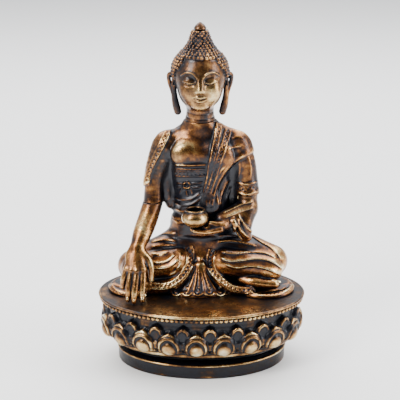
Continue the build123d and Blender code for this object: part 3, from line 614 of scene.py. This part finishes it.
def hair_cap(f):
    """Rows of small snail curls over the skull and up the ushnisha."""
    ushnisha = [(181.5, 10.8, 11.0, 13.6), (184.0, 8.6, 8.8, 13.8), (187.5, 6.4, 6.6, 14.0),
                (CROWN_Z, 3.5, 3.6, 14.0)]
    f.stack([(*row, LEAN_X) for row in ushnisha], 3)
    centre, radii = spot(0, 1.6, 5.4), np.array((16.0, 15.9, 14.7))
    shake = np.random.default_rng(7).uniform
    for row in range(22):
        lift = math.radians(74 - 6.6 * row)
        ring = math.cos(lift)
        count = max(int(2 * math.pi * 16 * ring / 2.2), 1)
        for k in range(count):
            turn = 2 * math.pi * (k + 0.5 * (row % 2) + shake(-0.18, 0.18)) / count
            point = centre + radii * (ring * math.sin(turn), -ring * math.cos(turn), math.sin(lift))
            if in_hair(point - HEAD):
                curl(f, point + (0, 0, shake(-0.25, 0.25)), (point - centre) / radii, shake(0.95, 1.2))
    for row in range(10):
        z = 183.4 + 1.27 * row
        radius = np.interp(z, [183, 185, 188, 191, CROWN_Z], [10.2, 8.3, 6.5, 5.3, 3.8])
        count = int(2 * math.pi * radius / 2.1)
        for k in range(count):
            turn = 2 * math.pi * (k + 0.5 * (row % 2) + shake(-0.2, 0.2)) / count
            out = np.array((math.sin(turn), -math.cos(turn), 0.4))
            point = (LEAN_X, 14.0, z + shake(-0.25, 0.25)) + radius * out * (1, 1, 0)
            curl(f, point, out, shake(0.9, 1.15))


def in_hair(p):
    """True behind the hairline, which arches over the brow and drops in front of the ears."""
    if p[1] > 4:
        return p[2] > -13
    return p[2] > 14.4 - 34 * max(abs(p[0]) / 15.5 - 0.5, 0) ** 1.5


def curl(f, point, outward, radius):
    """One curl: a bead with a small point."""
    outward = outward / np.linalg.norm(outward)
    f.ball(point, radius, 0.1)
    f.ball(point + 0.85 * radius * outward, 0.45, 0.2)


# ---------------------------------------------------------------- throne
PETALS = 19
PETAL_SHIFT = -2.85
PETAL_COLUMNS = 44
PLINTH_DEEPER, PLINTH_TOP_Z = 3.8, 8.65
PROFILE = [
    (0.0, 12.0), (0.3, 11.4), (7.2, 11.2), (7.9, 10.7), (8.4, 11.0), (8.6, 12.0), (8.7, 14.6), (12.8, 14.6),
    (13.0, 11.0), (13.1, 8.4), (13.7, 7.3), (15.2, 7.1), (15.8, 7.6), (17.0, 7.0), (24.0, 6.1), (32.0, 5.8),
    (33.6, 6.1), (36.0, 6.2), (36.3, 4.6), (39.9, 3.8), (40.0, 1.0), (40.3, 0.2), (40.8, 0.0), (41.2, 0.2),
    (41.6, 0.9), (41.5, 2.2),
]
BAND_FOOT_Z = 15.8
PETAL_LOW, PETAL_HIGH = 16.0, 34.6


def oval_walk(half_x, half_y, count, start):
    """Points and outward directions evenly spaced round an oval, the first at a length from the front."""
    a = np.linspace(0, 2 * math.pi, 4001)
    x, y = half_x * np.sin(a), -half_y * np.cos(a)
    walked = np.concatenate([[0], np.cumsum(np.hypot(np.diff(x), np.diff(y)))])
    want = (start + walked[-1] * np.arange(count) / count) % walked[-1]
    a = np.interp(want, walked, a)
    return a, walked[-1]


def petal_height(u, z, pitch):
    """How far a petal stands out, from the length along the rim off its middle and the height."""
    outline = [(15.5, 6.6), (17.5, 7.3), (20.5, 7.5), (23.5, 7.2), (26.4, 6.2), (28.4, 4.6), (29.6, 2.6),
               (30.4, 0.1)]
    half = np.interp(z, *zip(*outline))
    swell = np.interp(z, [15.5, 18, 21, 25, 28, 30.4, 30.5], [0.8, 3.8, 5.6, 5.7, 5.0, 3.6, 0.0])
    hood = swell * np.clip(1 - (np.abs(u) / half) ** 4.5, 0, 1) ** 0.5
    hollow = np.hypot(u / 5.0, (z - 21.0) / 5.9)
    hood -= 1.3 * ease((1.05 - hollow) / 0.22) + 0.35 * np.clip(1 - ((hollow - 1.3) / 0.07) ** 2, 0, 1)
    wide = 4.8 - 0.16 * (z - 20.6)
    bulge = np.clip(1 - (u / wide) ** 2 - ((z - 21.0) / 5.1) ** 2, 0, 1) ** 0.5
    egg = np.where(bulge > 0, 2.2 + 3.7 * bulge, 0)
    side = np.abs(np.abs(u) - pitch / 2)
    tip_width = np.interp(z, [20, 23.5, 27, 29.5, 31.6, 33.2, 34.2], [1.4, 2.6, 4.3, 4.8, 3.7, 2.0, 0.1])
    tip = 3.7 * np.clip(1 - (side / tip_width) ** 3.2, 0, 1) ** 0.5 * ease((z - 17) / 4)
    tip -= 1.1 * ease((1.1 - np.hypot(side / 2.9, (z - 28.0) / 4.2)) / 0.5)
    return np.maximum(np.maximum(hood, egg), tip)


def throne_rows():
    """Heights and insets, closely spaced up the profile, and then across the deck to its middle."""
    rows = []
    for (z0, i0), (z1, i1) in zip(PROFILE, PROFILE[1:]):
        spacing = 0.36 if z0 >= BAND_FOOT_Z else 0.8
        steps = max(int(math.hypot(z1 - z0, i1 - i0) / spacing), 1)
        rows += [(z0 + t * (z1 - z0), i0 + t * (i1 - i0)) for t in np.arange(steps) / steps]
    return rows + [(DECK_Z - 0.002 * k, 2.2 + k) for k in (0, 1, 2, 4, 6, 9, 12, 16, 20, 25, 30, 36)]


def throne_mesh():
    """The throne's outside, an oval profile with petals standing out of its band, and where these gleam."""
    columns = PETALS * PETAL_COLUMNS
    angle, around = oval_walk(DECK_HALF_X - 7, DECK_HALF_Y - 7, columns, PETAL_SHIFT)
    pitch = around / PETALS
    offset = (np.arange(columns) / PETAL_COLUMNS + 0.5) % 1.0 - 0.5
    along = offset * pitch
    rows = throne_rows()
    verts, gleam = [], []
    for z, inset in rows:
        egg = np.clip(1 - (along / 4.2) ** 2 - ((z - 19.4) / 4.4) ** 2, 0, 1)
        back_row = ease((z - 23.0) / 3.0) * ease((5.0 - np.abs(np.abs(along) - pitch / 2)) / 1.2)
        gleam.append(1.2 * egg - 0.75 * back_row * (z < PETAL_HIGH))
        out = np.zeros(columns)
        if PETAL_LOW < z < PETAL_HIGH:
            fade = ease((z - PETAL_LOW) / 1.0) * ease((PETAL_HIGH - z) / 1.4)
            out = fade * petal_height(along, np.full(columns, z), pitch)
        half_x = DECK_HALF_X - inset
        half_y = DECK_HALF_Y - inset + PLINTH_DEEPER * (z < PLINTH_TOP_Z)
        nx, ny = np.sin(angle) / half_x, -np.cos(angle) / half_y
        size = np.hypot(nx, ny)
        x, y = half_x * np.sin(angle) + out * nx / size, -half_y * np.cos(angle) + out * ny / size
        verts.append(np.column_stack([x, y, np.full(columns, z) - 0.08 * out]))
    verts = np.vstack([*verts, (0, 0, DECK_Z), (0, 0, 0.6)])
    gleam = np.concatenate([*gleam, (0, 0)])
    quads = ring_faces(len(rows), columns).tolist()
    centre, foot = len(verts) - 2, len(verts) - 1
    right = np.roll(np.arange(columns), -1)
    last = (len(rows) - 1) * columns
    top = [(last + a, last + b, centre) for a, b in enumerate(right)]
    bottom = [(b, a, foot) for a, b in enumerate(right)]
    return verts, quads + top + bottom, gleam


def ball_mesh(rings=8, sides=12):
    """Unit ball as rows of rings, poles along Z."""
    lat = np.linspace(-math.pi / 2, math.pi / 2, rings + 1)
    lon = 2 * math.pi * np.arange(sides) / sides
    verts = [(math.cos(a) * math.cos(b), math.cos(a) * math.sin(b), math.sin(a)) for a in lat for b in lon]
    return np.array(verts), ring_faces(rings + 1, sides)


def ring_faces(rings, sides):
    """Quads between rings of vertices, each ring closed."""
    grid = np.arange(rings * sides).reshape(rings, sides)
    right = np.roll(grid, -1, axis=1)
    return np.stack([grid[:-1], right[:-1], right[1:], grid[1:]], -1).reshape(-1, 4)


def bead_mesh():
    """A strip of beads under the deck's rim."""
    verts, quads = [], []
    unit, faces = ball_mesh()
    angle, _ = oval_walk(DECK_HALF_X - 2.0, DECK_HALF_Y - 2.0, 114, 0)
    size = np.random.default_rng(3).uniform(0.9, 1.06, len(angle))
    for k, a in enumerate(angle):
        centre = ((DECK_HALF_X - 1.9) * math.sin(a), -(DECK_HALF_Y - 1.9) * math.cos(a), 38.7)
        verts.append(unit * (1.35 * size[k], 1.35 * size[k], 1.35) + centre)
        quads.append(faces + k * len(unit))
    return np.vstack(verts), np.vstack(quads)


def revolve(profile, centre, sides=64):
    """A round mesh from (radius, height) points."""
    angle = 2 * math.pi * np.arange(sides) / sides
    x, y = centre
    verts = [(x + r * math.cos(a), y + r * math.sin(a), z) for r, z in profile for a in angle]
    return np.array(verts), ring_faces(len(profile), sides)


# ---------------------------------------------------------------- meshes with wear and painted highlight
def smooth_away(verts, edges, rounds):
    """Vertices after a number of rounds of averaging with their neighbours."""
    start, end = np.concatenate([edges, edges[:, ::-1]]).T
    count = np.bincount(start, minlength=len(verts))[:, None] + 1e-9
    out = verts.copy()
    for _ in range(rounds):
        total = np.stack([np.bincount(start, out[end, k], len(verts)) for k in range(3)], 1)
        out = 0.4 * out + 0.6 * total / count
    return out


def make_piece(node, verts, faces, material, polish_and_highlight, red, rounds, joints=(), scale=0.22):
    """A shown casting with wear measures at each vertex, in place of the CAD node; its polish measure also
    holds any painted highlight.

    Faces that lie flat against the next casting, at the heights given as joints, are left out.
    """
    name = node + "_cast"
    for z in joints:
        faces = faces[(np.abs(verts[faces][:, :, 2] - z) > 0.03).any(1)]
    mesh = bpy.data.meshes.new(name)
    mesh.from_pydata((verts * MM).tolist(), [], [list(map(int, q)) for q in faces])
    mesh.update()
    mesh.shade_smooth()
    edges = np.zeros((len(mesh.edges), 2), np.int32)
    mesh.edges.foreach_get("vertices", edges.reshape(-1))
    normal = np.zeros((len(verts), 3), np.float32)
    mesh.vertices.foreach_get("normal", normal.reshape(-1))
    clear = np.ones(len(verts))
    for z in joints:
        clear *= ease(np.abs(verts[:, 2] - z) / 1.2)
    for label, count, size in (("fine", rounds[0], scale), ("broad", rounds[1], 4 * scale)):
        proud = clear * ((verts - smooth_away(verts, edges, count)) * normal).sum(1) / size
        store(mesh, label, np.clip(0.5 + 0.5 * proud, 0, 1))
    store(mesh, "polish_and_highlight", np.clip(polish_and_highlight(*verts.T), 0, 1))
    store(mesh, "red", np.clip(red(*verts.T), 0, 1))
    mesh.materials.append(material)
    obj = bpy.data.objects.new(name, mesh)
    bpy.context.scene.collection.objects.link(obj)
    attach(obj, "root")
    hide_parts(node)


def wear_rounds(step, fine, broad):
    """Rounds of averaging on a grid of this step that reach over these two areas in square millimetres."""
    return round(fine / step**2), round(broad / step**2)


def store(mesh, label, values):
    """One number for each vertex, for the material to read."""
    attribute = mesh.attributes.new(label, "FLOAT", "POINT")
    attribute.data.foreach_set("value", np.ascontiguousarray(values, np.float32))


# ---------------------------------------------------------------- materials
class Nodes:
    """Short calls for building a shader."""

    def __init__(self, name):
        self.material = bpy.data.materials.new(name)
        self.material.use_nodes = True
        self.tree = self.material.node_tree
        self.tree.nodes.clear()

    def add(self, kind, **settings):
        node = self.tree.nodes.new(kind)
        for key, value in settings.items():
            setattr(node, key, value)
        return node

    def join(self, source, socket):
        if isinstance(source, bpy.types.NodeSocket):
            self.tree.links.new(source, socket)
        else:
            socket.default_value = source

    def math(self, operation, a, b=0.0, clamp=False):
        node = self.add("ShaderNodeMath", operation=operation, use_clamp=clamp)
        self.join(a, node.inputs[0])
        self.join(b, node.inputs[1])
        return node.outputs[0]

    def ramp(self, value, stops):
        node = self.add("ShaderNodeValToRGB")
        elements = node.color_ramp.elements
        while len(elements) < len(stops):
            elements.new(0.5)
        for element, (place, colour) in zip(elements, stops):
            element.position = place
            element.color = (*colour, 1.0)
        self.join(value, node.inputs[0])
        return node.outputs[0]

    def total(self, base, shares):
        """A number plus several values, each times its share."""
        for value, share in shares:
            base = self.math("ADD", self.math("MULTIPLY", value, share), base)
        return base

    def mix(self, share, a, b):
        """The first colour where the share is 0, and the second where it is 1."""
        node = self.add("ShaderNodeMix", data_type="RGBA")
        for source, socket in zip((share, a, b), (0, 6, 7)):
            self.join(source, node.inputs[socket])
        return node.outputs[2]

    def noise(self, scale, detail=4.0, rough=0.55, where=None):
        where = where or self.add("ShaderNodeNewGeometry").outputs["Position"]
        node = self.add("ShaderNodeTexNoise")
        self.join(where, node.inputs["Vector"])
        node.inputs["Scale"].default_value = scale
        node.inputs["Detail"].default_value = detail
        node.inputs["Roughness"].default_value = rough
        return node.outputs["Fac"]

    def number(self, label):
        return self.add("ShaderNodeAttribute", attribute_name=label).outputs["Fac"]

    def dents(self, height, distance, strength=1.0):
        bump = self.add("ShaderNodeBump")
        bump.inputs["Strength"].default_value = strength
        bump.inputs["Distance"].default_value = distance
        self.join(height, bump.inputs["Height"])
        return bump.outputs["Normal"]

    def surface(self, inputs):
        """The material, with one Principled shader that has these inputs."""
        shader = self.add("ShaderNodeBsdfPrincipled")
        for label, value in inputs.items():
            self.join(value, shader.inputs[label])
        self.join(shader.outputs[0], self.add("ShaderNodeOutputMaterial").inputs["Surface"])
        return self.material


PATINA = [
    (0.0, (0.003, 0.004, 0.011), (0.003, 0.004, 0.008)),
    (0.22, (0.010, 0.008, 0.012), (0.012, 0.009, 0.009)),
    (0.38, (0.060, 0.022, 0.010), (0.048, 0.026, 0.012)),
    (0.54, (0.235, 0.085, 0.021), (0.170, 0.090, 0.034)),
    (0.70, (0.460, 0.215, 0.060), (0.390, 0.245, 0.100)),
    (0.84, (0.640, 0.430, 0.175), (0.620, 0.470, 0.230)),
    (1.0, (0.780, 0.670, 0.420), (0.800, 0.710, 0.480)),
]


def bronze(name, bias, coat):
    """Copper alloy with dark patina in the hollows, brown between and pale metal where it is worn. An ambient
    occlusion term also darkens recesses and gaps between parts, partly as patina and partly as painted shade.

    PATINA gives each level of wear and painted light a copper-red and a brassy colour, mixed by the mesh's
    own share of red.
    """
    n = Nodes(name)
    shade = n.add("ShaderNodeAmbientOcclusion", samples=8, only_local=False)
    shade.inputs["Distance"].default_value = 0.012
    blotch, speck = n.noise(55.0, 5.0, 0.6), n.noise(420.0, 3.0, 0.6)
    marks = [
        (n.number("fine"), 0.5, 0.62),
        (n.number("broad"), 0.5, 0.6),
        (n.number("polish_and_highlight"), 0.5, 0.8),
        # ambient occlusion: darker in recesses and between parts, partly patina and partly painted shade
        (shade.outputs["AO"], 0.72, 0.6),
        (blotch, 0.5, 1.6),
        (speck, 0.5, 0.5),
    ]
    start = 0.27 + bias - sum(middle * share for _, middle, share in marks)
    wear_shade_and_highlight = n.math("ADD", n.total(start, [(mark, share) for mark, _, share in marks]), 0.0, clamp=True)
    red = n.ramp(wear_shade_and_highlight, [(level, colour) for level, colour, _ in PATINA])
    brassy = n.ramp(wear_shade_and_highlight, [(level, colour) for level, _, colour in PATINA])
    return n.surface({
        "Base Color": n.mix(n.number("red"), brassy, red),
        "Metallic": n.ramp(wear_shade_and_highlight, [(0.0, (0.45,) * 3), (0.4, (0.85,) * 3), (0.7, (1.0,) * 3)]),
        "Roughness": n.total(0.37 - 0.25 * 0.5, [(wear_shade_and_highlight, -0.15), (speck, 0.25)]),
        "Normal": n.dents(n.noise(700.0, 4.0, 0.6), 0.00035, 0.35),
        "Coat Weight": coat,
        "Coat Roughness": 0.2,
        "Coat IOR": 1.6,
    })


def grained(name, dark, light, metallic, roughness, scales, stretch=(1, 1, 1)):
    """Spots of two colours, drawn out by a stretch, and dents of the same grain."""
    n = Nodes(name)
    place = n.add("ShaderNodeVectorMath", operation="MULTIPLY")
    n.join(n.add("ShaderNodeNewGeometry").outputs["Position"], place.inputs[0])
    place.inputs[1].default_value = stretch
    coarse, fine = (n.noise(scale, where=place.outputs[0]) for scale in scales)
    return n.surface({
        "Base Color": n.ramp(n.total(0.0, [(coarse, 0.5), (fine, 0.5)]), [(0.35, dark), (0.65, light)]),
        "Metallic": metallic,
        "Roughness": n.total(roughness - 0.12, [(fine, 0.25)]),
        "Normal": n.dents(coarse, 0.0002),
    })


def dress_hidden_parts(nodes):
    """Finishes for the base plate, the pins and the filling, which keep their CAD shapes."""
    copper = grained("hammered_copper", (0.20, 0.07, 0.035), (0.50, 0.22, 0.12), 1.0, 0.45, (260, 900))
    brass = grained("dull_brass", (0.12, 0.06, 0.02), (0.42, 0.24, 0.09), 1.0, 0.42, (500, 1600))
    paper = grained("handmade_paper", (0.52, 0.42, 0.27), (0.74, 0.65, 0.47), 0.0, 0.9, (300, 1500))
    thread = grained(
        "twisted_thread", (0.20, 0.015, 0.015), (0.42, 0.05, 0.04), 0.0, 0.85, (900, 2400), (1, 1, 3))
    wood = grained(
        "planed_wood", (0.24, 0.13, 0.06), (0.50, 0.32, 0.17), 0.0, 0.65, (700, 2200), (1, 1, 0.06))
    pins = ["base_plate_pins", "tang_pins", "waist_pins", "right_elbow_pin", "left_cuff_pin", "neck_pin"]
    finishes = [
        (copper, ["base_plate"]),
        (brass, pins),
        (wood, ["life_stick"]),
        (paper, ["heart_scroll", "base_scrolls"]),
        (thread, ["scroll_threads"]),
    ]
    for finish, names in finishes:
        for slot in [slot for name in names for slot in nodes[name].material_slots]:
            slot.material = finish


# ---------------------------------------------------------------- where hands and cloth have polished it, and painted highlight
def patches(x, y, z, level, marks):
    """A level with soft-edged ellipsoids of more or less: each mark has an amount, a centre and radii."""
    for amount, centre, radii in marks:
        away = sum(((p - c) / r) ** 2 for p, c, r in zip((x, y, z), centre, radii))
        level = level + amount * np.exp(-1.5 * away)
    return level


POLISH_AND_HIGHLIGHT = [
    (0.14, (-5, 0, 132), (14, 14, 10)),
    # brighter on the chest's left side: a painted highlight
    (0.34, (-14, 2, 126), (5, 9, 9)),
    (-0.16, (-26, 8, 124), (7, 10, 20)),
    (-0.3, (28, 5, 105), (10, 12, 5)),
    (-0.62, (-6, 2, 104), (13, 10, 17)),
    (0.25, (-34, -2, 86), (9, 20, 20)),
    (0.25, (44, 0, 58), (12, 14, 12)),
    (0.15, (0, -6, 52), (60, 14, 14)),
    (-0.2, (-52, -2, 44), (12, 12, 8)),
    (-0.12, (3, -8, 83), (15, 8, 4)),
    (-0.25, (38, -6, 48), (13, 6, 5)),
    (0.22, (19, -1, 88), (9, 9, 6)),
    (-0.10, (-1, -12, 50), (16, 10, 12)),
]
PALE_BRASS_AND_HIGHLIGHT = [
    # paler metal on the chest's left side: a painted highlight
    (-0.8, (-15, 2, 126), (6, 10, 10)),
    (-0.5, (-27, 8, 122), (7, 11, 20)),
    (-0.6, (-38, -15, 56), (14, 12, 14)),
    (-0.5, (28, 4, 92), (12, 12, 16)),
]


def figure_polish_and_highlight(x, y, z):
    p = patches(x, y, z, 0.46 + 0.07 * ease((78 - z) / 8), POLISH_AND_HIGHLIGHT)
    return np.where(y > 14, p - 0.05, p)


def figure_red(x, y, z):
    """Share of copper red: most on the legs, least where the arms and the borders are pale, and on the
    chest's left, as a painted highlight.
    """
    return patches(x, y, z, 0.85 + 0.15 * ease((80 - z) / 10), PALE_BRASS_AND_HIGHLIGHT)


def face_polish(x, y, z):
    return patches(x, y, z, 0.45 - 0.02 * ease((z - 179) / 4), [(0.26, (LEAN_X, 0, 162), (15, 12, 13))])


def face_red(x, y, z):
    return patches(x, y, z, 0.75, [(-0.75, (LEAN_X, -2, 164), (15, 12, 15))])


def deck_polish(x, y, z):
    """Worn on the deck's front edge; dull on the band's lip, the plinth and the deck's rim."""
    p = patches(x, y, z, 0.44, [(0.6, (-8, -40, 41.5), (22, 6, 3)), (0.3, (5, -33, 41.5), (15, 6, 3))])
    p -= 0.3 * ease((z - 12.6) / 0.6) * ease((16.4 - z) / 0.8)
    p += 0.12 * (z > 41.3) - 0.55 * ease((7.0 - z) / 0.8) - 0.22 * ease((z - 7.0) / 0.4) * (z < 9)
    p -= 0.30 * ease((np.hypot(x / DECK_HALF_X, y / DECK_HALF_Y) - 0.96) / 0.02) * (z > 39.9)
    return p


def throne_red(x, y, z):
    return patches(x, y, z, 0.3, [(0.7, (3, -33, 41.5), (18, 6, 3))])


def even(level):
    """The same level all over."""
    return lambda x, y, z: np.full(x.shape, level)


# ---------------------------------------------------------------- the shown castings
def build_figure(metal):
    body = Relief((-62, 30), (62, 150))
    torso_front(body)
    legs_front(body)
    step = 0.46
    f = Field((-60, -22, 41.4), (60, 35, 146), step)
    sculpt_body(f)
    f.raise_by(lambda x, y, z: blend(front_weight(y, 12.0), body.at(x, y, z), back_folds(x, y, z)))
    whole = f.d.copy()
    f.keep(lambda x, y, z: np.maximum(z - WAIST_Z, DECK_Z + 0.05 - z))
    rounds = wear_rounds(step, 1.5, 13.6)
    make_piece("crossed_legs", *f.surface(), metal, figure_polish_and_highlight, figure_red, rounds, [WAIST_Z])
    f.d = whole
    f.keep(lambda x, y, z: np.maximum(WAIST_Z - z, z - NECK_Z))
    f.keep(forearm_space)
    joints = [WAIST_Z, NECK_Z, RIGHT_ELBOW_Z, LEFT_CUFF_Z]
    make_piece("torso", *f.surface(), metal, figure_polish_and_highlight, figure_red, rounds, joints)


def forearm_space(x, y, z):
    """Positive where the forearm castings are, below the elbow and the cuff."""
    right = np.minimum(RIGHT_ELBOW_Z - z, TORSO_RIGHT_X - x)
    left = np.minimum(LEFT_CUFF_Z - z, x - TORSO_LEFT_X)
    return np.where(x < 0, right, left)


def build_forearms(metal):
    step = 0.34
    f = Field((-52, -28, 41.6), (-20, 18, 98), step)
    right_hand(f)
    f.keep(lambda x, y, z: z - RIGHT_ELBOW_Z)
    rounds = wear_rounds(step, 1.0, 9.1)
    make_piece("right_forearm", *f.surface(), metal, figure_polish_and_highlight, figure_red, rounds, [RIGHT_ELBOW_Z])
    f = Field((-12, -16, 66), (36, 18, 103), step)
    left_hand(f)
    sleeve = Relief((-20, 60), (40, 112))
    sleeve_front(sleeve)
    f.raise_by(lambda x, y, z: front_weight(y, 10.0) * ease((x - 12) / 3) * sleeve.at(x, y, z))
    f.keep(lambda x, y, z: z - LEFT_CUFF_Z)
    make_piece("left_forearm", *f.surface(), metal, figure_polish_and_highlight, figure_red, rounds, [LEFT_CUFF_Z])


def build_head(metal):
    step = 0.32
    f = Field((-21, -8, 142), (20, 31, 197), step)
    sculpt_head(f)
    hair_cap(f)
    f.keep(lambda x, y, z: np.maximum(NECK_Z - z, z - CROWN_Z))
    rounds = wear_rounds(step, 0.61, 5.5)
    make_piece("head", *f.surface(), metal, face_polish, face_red, rounds, [NECK_Z], 0.3)
    jewel = [(0.0, CROWN_Z), (3.0, CROWN_Z), (3.1, 195.7), (3.6, 196.0), (3.6, 196.5), (3.2, 197.3),
             (2.4, 198.3), (1.4, 199.2), (0.6, 199.8), (0.0, TOP_Z)]
    make_piece("crown_jewel", *revolve(jewel, (LEAN_X, 14.0)), metal, even(0.35), even(0.5), (1, 2))


def build_bowl(metal):
    """The bowl, from a section of radii and heights over its foot that runs round to its inside."""
    section = [(0.0, 0.0), (3.2, 0.0), (4.6, 0.4), (5.8, 1.1), (6.7, 2.1), (7.2, 3.2), (7.4, 4.6), (7.1, 6.0),
               (6.4, 7.2), (5.6, 8.0), (5.2, 8.5), (5.5, 8.9), (5.6, 9.2), (5.3, 9.4), (4.6, 9.4), (4.4, 9.0),
               (4.5, 8.2), (5.4, 6.6), (6.0, 4.6), (5.6, 3.3), (4.2, 2.0), (2.4, 1.4), (0.0, 1.3)]
    profile = [(BOWL_SCALE * radius, BOWL_Z + BOWL_SCALE * height) for radius, height in section]
    make_piece("alms_bowl", *revolve(profile, (BOWL_X, BOWL_Y)), metal, even(0.27), even(0.3), (2, 6))


def build_throne(metal):
    verts, faces, gleam = throne_mesh()
    worn = lambda x, y, z: deck_polish(x, y, z) + 0.38 * gleam
    make_piece("lotus_throne", verts, faces, metal, worn, throne_red, (4, 32))
    make_piece("beaded_rim", *bead_mesh(), metal, even(0.5), even(0.35), (2, 4))


# ---------------------------------------------------------------- studio, in metres
VIEW_AIM = (0.0, 0.005, 0.097)
VIEW_DISTANCE = 0.7
VIEW_SLOPE = math.radians(17.5)


def light(name, where, aim, power, size, colour=(1, 1, 1)):
    """A rectangular lamp of a power in watts; places and sizes are in metres."""
    lamp = bpy.data.lights.new(name, "AREA")
    lamp.energy = power
    lamp.color = colour
    lamp.shape = "RECTANGLE"
    lamp.size, lamp.size_y = size
    obj = bpy.data.objects.new(name, lamp)
    obj.location = where
    bpy.context.scene.collection.objects.link(obj)
    point_at(obj, aim)


def point_at(obj, aim):
    """Turns a lamp or camera so that its -Z axis points at a place."""
    obj.rotation_euler = (Vector(aim) - Vector(obj.location)).to_track_quat("-Z", "Y").to_euler()


def build_room():
    white = {"Base Color": (0.93, 0.93, 0.93, 1.0), "Metallic": 0.0, "Roughness": 0.9}
    floor_mesh = bpy.data.meshes.new("floor")
    floor_mesh.from_pydata([(-20, -20, 0), (20, -20, 0), (20, 20, 0), (-20, 20, 0)], [], [(0, 1, 2, 3)])
    floor_mesh.materials.append(Nodes("floor_white").surface(white))
    floor = bpy.data.objects.new("floor", floor_mesh)
    bpy.context.scene.collection.objects.link(floor)
    build_studio_world()
    light("over", (0.0, 0.55, 0.9), (0, 0.35, 0), 26.0, (1.6, 1.0))
    light("key", (-0.42, -0.35, 0.50), (0, 0, 0.1), 5.0, (0.22, 0.4), (1.0, 0.97, 0.92))
    light("fill", (0.55, -0.15, 0.30), (0, 0, 0.09), 3.0, (0.2, 0.5))


def build_studio_world():
    """White walls at the sides and behind, and a dim side towards the viewer."""
    world = bpy.data.worlds.new("studio")
    world.use_nodes = True
    tree = world.node_tree
    where = tree.nodes.new("ShaderNodeTexCoord").outputs["Generated"]
    split = tree.nodes.new("ShaderNodeSeparateXYZ")
    ramp = tree.nodes.new("ShaderNodeMapRange")
    ramp.interpolation_type = "SMOOTHSTEP"
    for label, value in (("From Min", -0.9), ("From Max", -0.1), ("To Min", 0.03), ("To Max", 1.15)):
        ramp.inputs[label].default_value = value
    tree.links.new(where, split.inputs[0])
    tree.links.new(split.outputs["Y"], ramp.inputs["Value"])
    background = tree.nodes["Background"]
    background.inputs["Color"].default_value = (0.95, 0.97, 1.0, 1)
    tree.links.new(ramp.outputs["Result"], background.inputs["Strength"])
    bpy.context.scene.world = world


def build_camera():
    """Looks down on the statue from the front."""
    data = bpy.data.cameras.new("camera")
    data.sensor_width = 36.0
    data.lens = 107.1
    data.shift_x, data.shift_y = -0.00375, -0.0025
    camera = bpy.data.objects.new("camera", data)
    x, y, z = VIEW_AIM
    back, up = VIEW_DISTANCE * math.cos(VIEW_SLOPE), VIEW_DISTANCE * math.sin(VIEW_SLOPE)
    camera.location = (x, y - back, z + up)
    bpy.context.scene.collection.objects.link(camera)
    point_at(camera, VIEW_AIM)
    bpy.context.scene.camera = camera


def main():
    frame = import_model()
    cast = bronze("worn_bronze", 0.0, 0.25)
    throne = bronze("throne_bronze", -0.05, 0.06)
    build_figure(cast)
    build_forearms(cast)
    build_head(cast)
    build_bowl(cast)
    build_throne(throne)
    dress_hidden_parts(frame["nodes"])
    build_room()
    build_camera()


main()
